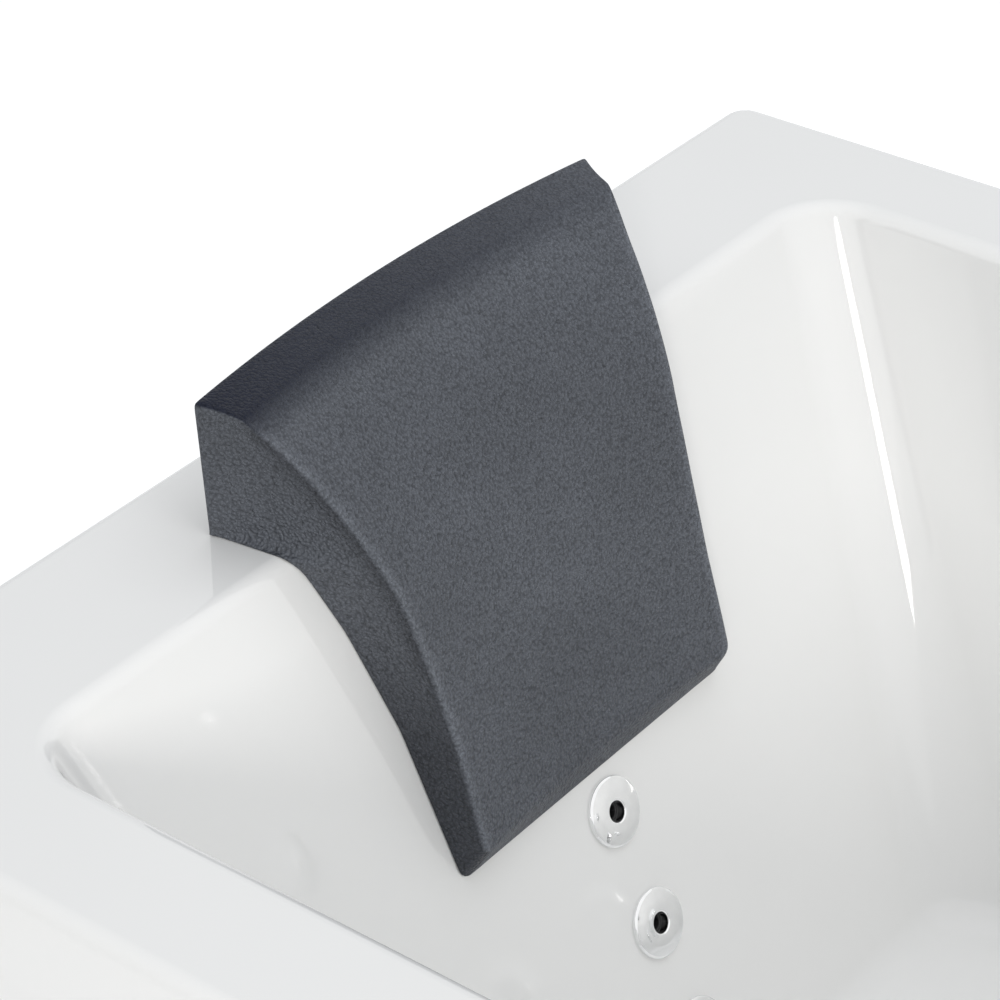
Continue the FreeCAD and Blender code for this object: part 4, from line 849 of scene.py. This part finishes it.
def cushion_net():
    """The cushion's points: a section between its face and its back, drawn across the tub.
    The face's points at a half width y stand forward by axis - sqrt((axis - x)^2 - y^2), and
    each half width is shared between the face's and the back's at that height, drawn in by a
    parabola between them, and rounded off by a quarter circle at the toe."""
    front, back, reach, free, heel, rim = cushion_sections()
    thick = np.linalg.norm(back - front, axis=1)
    depth = stations(thick, ROWS_THROUGH) / thick[:, None]
    net, quads = box_net((len(reach) - 1, depth.shape[1] - 1, ROWS_ACROSS + 2 * EDGE_CELLS))
    row, deep, wide = net.T
    share = depth[row, deep]
    flat = front[row] + (back[row] - front[row]) * share[:, None]
    wrapped = 1 - share * (1 - free[row])
    face_half, rest_half = cushion_halves(front, back, heel, rim)
    half = (face_half + (rest_half - face_half) * depth.T).T[row, deep]
    half -= PULL_IN * 4 * share * (1 - share) * np.clip(thick[row] / THICK_FOAM, 0, 1)
    left = np.clip(reach[-1] - reach[row] - TOE_ROUND, -TOE_ROUND, 0) / TOE_ROUND
    half -= TOE_ROUND * (1 - np.sqrt(1 - left ** 2))
    spread = stations(2 * half, ROWS_ACROSS)[np.arange(len(net)), wide] - half
    bent = CUSHION_AXIS - np.sqrt((CUSHION_AXIS - flat[:, 0]) ** 2 - spread ** 2)
    x = flat[:, 0] + wrapped * (bent - flat[:, 0])
    points = np.column_stack([x * MM - HALF_LONG, spread * MM, flat[:, 1] * MM + DECK_Z])
    marks = cushion_marks(reach[row], deep == 0, share * thick[row], half - np.abs(spread),
                          spread, row == 0)
    return points, quads, (share > 0.99) & (row >= heel), marks


def cushion_marks(reach, face, behind, inward, spread, top):
    """Painted light and shade on the skin, as two marks: the first is 1 on the dark top band, a
    painted shade, and fades down the face and towards the right end; the second is above 0 for a
    painted highlight along the face's edges and below 0 for painted shadow on the sides."""
    side = inward < 0.1
    # painted shade on the top band, fading down the face and towards the right end
    band = np.where(top, 1.0, face * np.clip(1 - reach / TOP_SHADE_FADE, 0, 1))
    crown = band * np.interp(spread, [-170, 60, 170], [1.0, 0.55, 0.2])
    # painted highlight along the face's edges beside the sides
    painted_lighting = face * np.clip(1 - inward / HIGHLIGHT_FADE, 0, 1)
    # painted shadow on the sides, next to the face's edge and deeper towards the toe
    shaded = SHADOW_DEPTH * np.clip((reach - SHADOW_START) / SHADOW_FADE, 0, 1)
    shadow = np.clip(1 - behind / SIDE_FADE, shaded, 1) * ~face
    welt = np.where(side, -shadow, painted_lighting)
    return {"crown": crown, "welt": welt * np.clip(reach / SIDE_FADE, 0, 1)}


def make_cushion():
    """The moulded cushion: a net over its skin, relaxed so that every edge rolls over like
    foam under leather. The skin that rests on the tub gives less."""
    points, quads, held, marks = cushion_net()
    mesh = mesh_of("net", points, quads.tolist())
    piece = shown("net", mesh)
    soft = piece.vertex_groups.new(name="soft")
    soft.add(np.flatnonzero(~held).tolist(), 1.0, "REPLACE")
    soft.add(np.flatnonzero(held).tolist(), HELD_WEIGHT, "REPLACE")
    for name, values in marks.items():
        field = mesh.attributes.new(name, "FLOAT", "POINT")
        field.data.foreach_set("value", values.astype(np.float32))
    relax = piece.modifiers.new("relax", "SMOOTH")
    relax.factor = RELAX_FACTOR
    relax.iterations = RELAX_ROUNDS
    relax.vertex_group = "soft"
    result = applied(piece)
    bpy.data.objects.remove(piece)
    bpy.data.meshes.remove(mesh)
    piece = finished("cushion_leather", result, "cushion", "cushion_skin", 180)
    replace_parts(piece, "head_cushion")


# ---------------------------------------------------------------- jets

# Outlines are (radius, height, round) in millimetres, with heights from the wall's face.
# The side jets' nozzles are balls in round seats, cut flat beside their hinges.
BALL = 13.9
BALL_FROM, BALL_TO = 26, 155
BALL_FLAT = 10.9
BALL_AROUND = 72
NOZZLE_MOUTH = ((6.6, 13.2), (6.0, 12.6), (5.8, 4), (5.2, 2), (5.2, -12.5))
SEAT = 14.3
SEAT_FROM, SEAT_TO = 4, 176
FEED_RADIUS = 11
FEED_LOW, FEED_HIGH = -30, -5


def make_back_jets(sizes):
    """Domed chrome faces of the back jets, each with a stepped dark throat."""
    outer, bore = sizes.jet_radius / MM, sizes.jet_bore / MM
    face = [(10.5, -12), (10.5, 0.02), (outer, 0.02, 0.4), (outer, 2.0, 0.8),
            (outer - 1.3, 2.9, 1.6), (outer * 0.62, 3.9, 30.0), (bore + 0.9, 4.15, 0.5),
            (bore, 3.6, 0.8), (bore, -12)]
    throat = [(0, -11), (bore - 0.1, -11), (bore - 0.1, -3, 0.4), (bore - 1.4, -3, 0.4),
              (bore - 1.6, -7, 1), (2.4, -9, 0.6), (0, -9)]
    pieces = []
    for number, depth in enumerate(back_jet_depths(sizes), 1):
        place = head_frame(sizes, depth)
        pieces.append(turned_piece(f"back_jet_face_{number}", face, place, closed=True))
        turned_piece(f"back_jet_throat_{number}", throat, place, slot="black_plastic",
                     around=DRILL_AROUND)
    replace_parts(pieces[0], "jet_faces")


def make_side_jets(sizes):
    """Escutcheon rings with round seats, and the nozzles' balls, whose outline is an arc down
    the ball and a bore back up through it."""
    rim = sizes.ring_radius / MM
    ring = [(0, -21.9), (19.8, -21.9), (19.8, 0.02), (rim, 0.02, 0.4), (rim, 1.6, 1.0),
            (rim - 4, 4.0, 6.0), (21, 5.1, 6.0), (0, 5.1)]
    turn = np.radians(np.linspace(BALL_TO, BALL_FROM, 28))
    arc = BALL * np.column_stack([np.sin(turn), np.cos(turn)])
    ball = lathe(np.vstack([arc, NOZZLE_MOUTH]) * MM, BALL_AROUND)
    ball[..., 0] = np.clip(ball[..., 0], -BALL_FLAT * MM, BALL_FLAT * MM)
    turn = np.radians(np.linspace(SEAT_FROM, SEAT_TO, 36))
    seat = lathe(SEAT * MM * np.column_stack([np.sin(turn), np.cos(turn)]), DRILL_AROUND)
    for number, place in side_jets(sizes):
        centre = place @ Matrix.Translation((0, 0, -NOZZLE_SINK * MM))
        piece = turned_piece(f"side_jet_ring_{number}", ring, place)
        feed = drill(FEED_RADIUS * MM, FEED_LOW * MM, FEED_HIGH * MM, place)
        drilled(piece, [strip(moved(seat, centre)), feed])
        nozzle = solid(f"side_jet_eyeball_{number}", *strip(moved(ball, centre), True),
                       f"nozzle_{number}", "chrome_trim")
        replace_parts(nozzle, f"side_jet_nozzle_{number}")


# ---------------------------------------------------------------- suction, waste and controls

GRILLE = ((31, 0.05), (42.9, 0.05, 0.4), (42.9, 2.4, 1.6), (39, 4.4, 3), (30, 8.2, 5),
          (0, 8.9), (0, 6), (24, 5.6, 4), (31, 3, 2))
GRILLE_SLOTS = 9
SLOT_LOW, SLOT_HIGH = (10, -3, -2), (27, 3, 14)
ROSETTE = ((21, -8), (23.95, -8), (23.95, 0.05), (34.9, 0.05, 0.4), (34.9, 1.6, 1.2),
           (32, 3.0, 2), (22.5, 2.95, 0.6), (21, 2.2))
DIAL = ((0, -33.9), (4.95, -33.9), (4.95, 6.05), (28.4, 6.05, 1.0), (29.9, 8.6, 1.6),
        (29.6, 13.6, 2.0), (26.4, 16.4, 4.0), (0, 16.95))
PLUG = ((0, -29.9), (3.95, -29.9, 0.6), (3.95, 2.35), (22.6, 2.35, 0.6), (24.9, 3.4, 0.8),
        (24.2, 4.9, 1.4), (16, 6.2, 18), (0, 6.45))
BEZEL = ((14.35, -35.9), (14.35, 2.0, 0.4), (15.4, 2.55, 0.5), (20.6, 2.55, 1.2),
         (21.95, 1.2, 0.8), (21.95, 0.05), (16.95, 0.05), (16.95, -49.9), (6, -49.9),
         (6, -59.9), (0, -59.9), (0, -35.9))
KNOB = ((0, -23.9), (14.2, -23.9), (14.2, 3.45), (19.4, 3.45, 0.6), (19.9, 5.0, 0.8),
        (19.0, 14.2, 1.6), (16.5, 15.7, 2.0), (0, 15.95))
BUTTON = ((0, -27.9), (6.95, -27.9), (6.95, -8), (13.95, -8, 0.4), (13.95, 4.2, 0.9),
          (12.6, 4.95, 1.2), (8, 4.3, 8), (0, 4.1))


def make_waste(sizes):
    """Suction grille, overflow dial on its rosette, and the waste's domed plug."""
    place = suction_frame(sizes)
    piece = turned_piece("suction_grille", GRILLE, place, closed=True)
    low, high = np.array(SLOT_LOW) * MM, np.array(SLOT_HIGH) * MM
    turns = [2 * math.pi * step / GRILLE_SLOTS for step in range(GRILLE_SLOTS)]
    slots = [block(low, high, place @ Matrix.Rotation(turn, 4, "Z")) for turn in turns]
    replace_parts(drilled(piece, slots), "suction_cover")
    place = overflow_frame(sizes)
    piece = turned_piece("overflow_rosette", ROSETTE, place, closed=True)
    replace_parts(piece, "overflow_ring")
    piece = turned_piece("overflow_dial", DIAL, place, "overflow_knob")
    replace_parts(piece, "overflow_knob")
    piece = turned_piece("waste_plug", PLUG, waste_frame(sizes), "plug")
    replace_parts(piece, "drain_plug")


def make_controls():
    """Air regulator and push button on the far deck, each on its bezel."""
    knob_place, button_place = control_frames()
    bezel = turned_piece("control_bezel_1", BEZEL, knob_place, closed=True)
    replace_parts(bezel, "control_seats")
    knob = turned_piece("regulator_dial", KNOB, knob_place, "regulator_knob")
    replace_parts(knob, "air_regulator_knob")
    turned_piece("control_bezel_2", BEZEL, button_place, closed=True)
    cap = turned_piece("button_cap", BUTTON, button_place, "button")
    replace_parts(cap, "air_button")


# ---------------------------------------------------------------- the rest and the stage

def make_hardware():
    """Gives every solid that still shows the finish of its slot."""
    for name, node in frame["nodes"].items():
        node.data.materials.clear()
        node.data.materials.append(finish(SLOTS[name]))


# The photograph's camera: where it stands, which way it looks, its roll and its lens.
CAMERA_SPOT = (0.2339, -1.2377, 1.6099)
CAMERA_AIM = (-0.52261, 0.65132, -0.55014)
CAMERA_ROLL = math.radians(1.474)
CAMERA_LENS = 117.32
CAMERA_SENSOR = 36
CAMERA_REACH = 60

FLOOR_HALF = 9.0
FLOOR_DROP = 0.0005
FLOOR_ROUGH = 0.6
FLOOR_LIFT = 0.42
SKY_COLOUR = (0.95, 0.975, 1.0)
SKY_STRENGTH = 0.52

# Soft boxes: name, place, width and height in metres, power in watts, colour, mirrored.
COOL = (0.95, 0.965, 1.0)
WARM = (1.0, 0.98, 0.955)
LIGHT_AIM = (-0.6, 0, 0.5)
LIGHTS = (("overhead", (-0.3, 0.2, 3.2), 3.0, 2.4, 27, COOL, False),
          ("front", (1.7, -3.1, 1.75), 0.7, 1.1, 50, WARM, True),
          ("foot_side", (3.0, -0.8, 1.7), 2.0, 1.6, 20, WARM, False))


def add_light(name, spot, width, height, power, colour, mirrored):
    """A soft box that looks at the tub, and shows in gloss only where mirrored is set."""
    lamp = bpy.data.lights.new(name, "AREA")
    lamp.shape = "RECTANGLE"
    lamp.size, lamp.size_y = width, height
    lamp.energy = power
    lamp.color = colour
    box = shown(name, lamp)
    box.location = spot
    look = Vector(LIGHT_AIM) - Vector(spot)
    box.rotation_euler = look.to_track_quat("-Z", "Y").to_euler()
    box.visible_glossy = mirrored


def white_where_seen(tree, surface, white, target):
    """Shows a white to the camera and in gloss and glass, and the surface elsewhere."""
    join = tree.links.new
    path = tree.nodes.new("ShaderNodeLightPath")
    seen = path.outputs["Is Camera Ray"]
    for kind in ("Is Glossy Ray", "Is Transmission Ray"):
        either = tree.nodes.new("ShaderNodeMath")
        either.operation = "MAXIMUM"
        join(seen, either.inputs[0])
        join(path.outputs[kind], either.inputs[1])
        seen = either.outputs[0]
    mix = tree.nodes.new("ShaderNodeMixShader")
    for socket, source in enumerate((seen, surface, white)):
        join(source, mix.inputs[socket])
    join(mix.outputs[0], target)


def make_floor(colour):
    """A pale floor that keeps the tub's shadow and is lifted to white where it is seen."""
    corners = np.array([(-1, -1, 0), (1, -1, 0), (1, 1, 0), (-1, 1, 0)]) * FLOOR_HALF
    mesh = mesh_of("studio_floor", corners, [(0, 1, 2, 3)])
    floor = shown("studio_floor", mesh)
    floor.location.z = -FLOOR_DROP
    material = bpy.data.materials.new("studio_floor")
    material.use_nodes = True
    tree = material.node_tree
    shader = tree.nodes["Principled BSDF"]
    shader.inputs["Base Color"].default_value = (*colour, 1)
    shader.inputs["Roughness"].default_value = FLOOR_ROUGH
    glow = tree.nodes.new("ShaderNodeEmission")
    glow.inputs["Strength"].default_value = FLOOR_LIFT
    lifted = tree.nodes.new("ShaderNodeAddShader")
    tree.links.new(shader.outputs[0], lifted.inputs[0])
    tree.links.new(glow.outputs[0], lifted.inputs[1])
    white_where_seen(tree, shader.outputs[0], lifted.outputs[0],
                     tree.nodes["Material Output"].inputs[0])
    mesh.materials.append(material)


def make_sky():
    """A soft cool sky that lights the tub, and plain white where it is seen."""
    world = bpy.data.worlds.new("studio")
    world.use_nodes = True
    bpy.context.scene.world = world
    tree = world.node_tree
    sky = tree.nodes["Background"]
    sky.inputs["Color"].default_value = (*SKY_COLOUR, 1)
    sky.inputs["Strength"].default_value = SKY_STRENGTH
    white = tree.nodes.new("ShaderNodeBackground")
    white.inputs["Color"].default_value = (1, 1, 1, 1)
    white.inputs["Strength"].default_value = 1.0
    white_where_seen(tree, sky.outputs[0], white.outputs[0],
                     tree.nodes["World Output"].inputs[0])


def make_camera():
    """The photograph's camera."""
    lens = bpy.data.cameras.new("camera")
    lens.lens = CAMERA_LENS
    lens.sensor_width = CAMERA_SENSOR
    lens.clip_end = CAMERA_REACH
    camera = shown("camera", lens)
    aim = Vector(CAMERA_AIM).normalized()
    right = aim.cross(Vector((0, 0, 1))).normalized()
    up = right.cross(aim)
    turn = Matrix((right, up, -aim)).transposed().to_4x4()
    roll = Matrix.Rotation(-CAMERA_ROLL, 4, "Z")
    camera.matrix_world = Matrix.Translation(CAMERA_SPOT) @ turn @ roll
    bpy.context.scene.camera = camera


def make_stage(colours):
    """White studio: floor, sky, soft boxes and the photograph's camera."""
    make_floor(colours.floor)
    make_sky()
    for light in LIGHTS:
        add_light(*light)
    make_camera()
    bpy.context.scene.view_settings.view_transform = "Standard"


# ---------------------------------------------------------------- add-on

class Step:
    """What the tub's operators share."""

    bl_options = {"REGISTER", "UNDO"}


class BATH_OT_shell(Step, bpy.types.Operator):
    """Builds the moulded shell with its basin, rounded rims and holes"""

    bl_idname = "bath.shell"
    bl_label = "Moulded shell"

    def execute(self, context):
        make_shell(context.scene.bath_sizes)
        return {"FINISHED"}


class BATH_OT_cushion(Step, bpy.types.Operator):
    """Builds the leather head cushion that hooks over the rim"""

    bl_idname = "bath.cushion"
    bl_label = "Head cushion"

    def execute(self, context):
        make_cushion()
        return {"FINISHED"}


class BATH_OT_jets(Step, bpy.types.Operator):
    """Builds the chrome jet faces, their throats, rings and nozzles"""

    bl_idname = "bath.jets"
    bl_label = "Jets"

    def execute(self, context):
        make_back_jets(context.scene.bath_sizes)
        make_side_jets(context.scene.bath_sizes)
        return {"FINISHED"}


class BATH_OT_waste(Step, bpy.types.Operator):
    """Builds the suction grille, the overflow dial and the waste plug"""

    bl_idname = "bath.waste"
    bl_label = "Suction, overflow and waste"

    def execute(self, context):
        make_waste(context.scene.bath_sizes)
        return {"FINISHED"}


class BATH_OT_controls(Step, bpy.types.Operator):
    """Builds the air regulator and the push button on the deck"""

    bl_idname = "bath.controls"
    bl_label = "Deck controls"

    def execute(self, context):
        make_controls()
        return {"FINISHED"}


class BATH_OT_hardware(Step, bpy.types.Operator):
    """Paints frame, panels, pipes, pump and feet with their finishes"""

    bl_idname = "bath.hardware"
    bl_label = "Frame, panels and plumbing"

    def execute(self, context):
        make_hardware()
        return {"FINISHED"}


class BATH_OT_stage(Step, bpy.types.Operator):
    """Sets up the white studio and the camera"""

    bl_idname = "bath.stage"
    bl_label = "Stage"

    def execute(self, context):
        make_stage(context.scene.bath_colours)
        return {"FINISHED"}


STEPS = (BATH_OT_shell, BATH_OT_cushion, BATH_OT_jets, BATH_OT_waste, BATH_OT_controls,
         BATH_OT_hardware, BATH_OT_stage)


class BATH_PT_panel(bpy.types.Panel):
    """Sizes, colours and steps of the bathtub"""

    bl_idname = "BATH_PT_panel"
    bl_label = "Jetted bathtub"
    bl_space_type = "VIEW_3D"
    bl_region_type = "UI"
    bl_category = "Bathtub"

    def draw(self, context):
        for group in (context.scene.bath_sizes, context.scene.bath_colours):
            box = self.layout.box()
            for name in group.__annotations__:
                box.prop(group, name)
        for step in STEPS:
            self.layout.operator(step.bl_idname)


CLASSES = (BathSizes, BathColours, *STEPS, BATH_PT_panel)


def register():
    for item in CLASSES:
        bpy.utils.register_class(item)
    bpy.types.Scene.bath_sizes = bpy.props.PointerProperty(type=BathSizes)
    bpy.types.Scene.bath_colours = bpy.props.PointerProperty(type=BathColours)


def unregister():
    del bpy.types.Scene.bath_colours
    del bpy.types.Scene.bath_sizes
    for item in reversed(CLASSES):
        bpy.utils.unregister_class(item)


def main():
    register()
    bpy.ops.bath.hardware()
    bpy.ops.bath.shell()
    bpy.ops.bath.cushion()
    bpy.ops.bath.jets()
    bpy.ops.bath.waste()
    bpy.ops.bath.controls()
    bpy.ops.bath.stage()


if __name__ == "__main__":
    main()
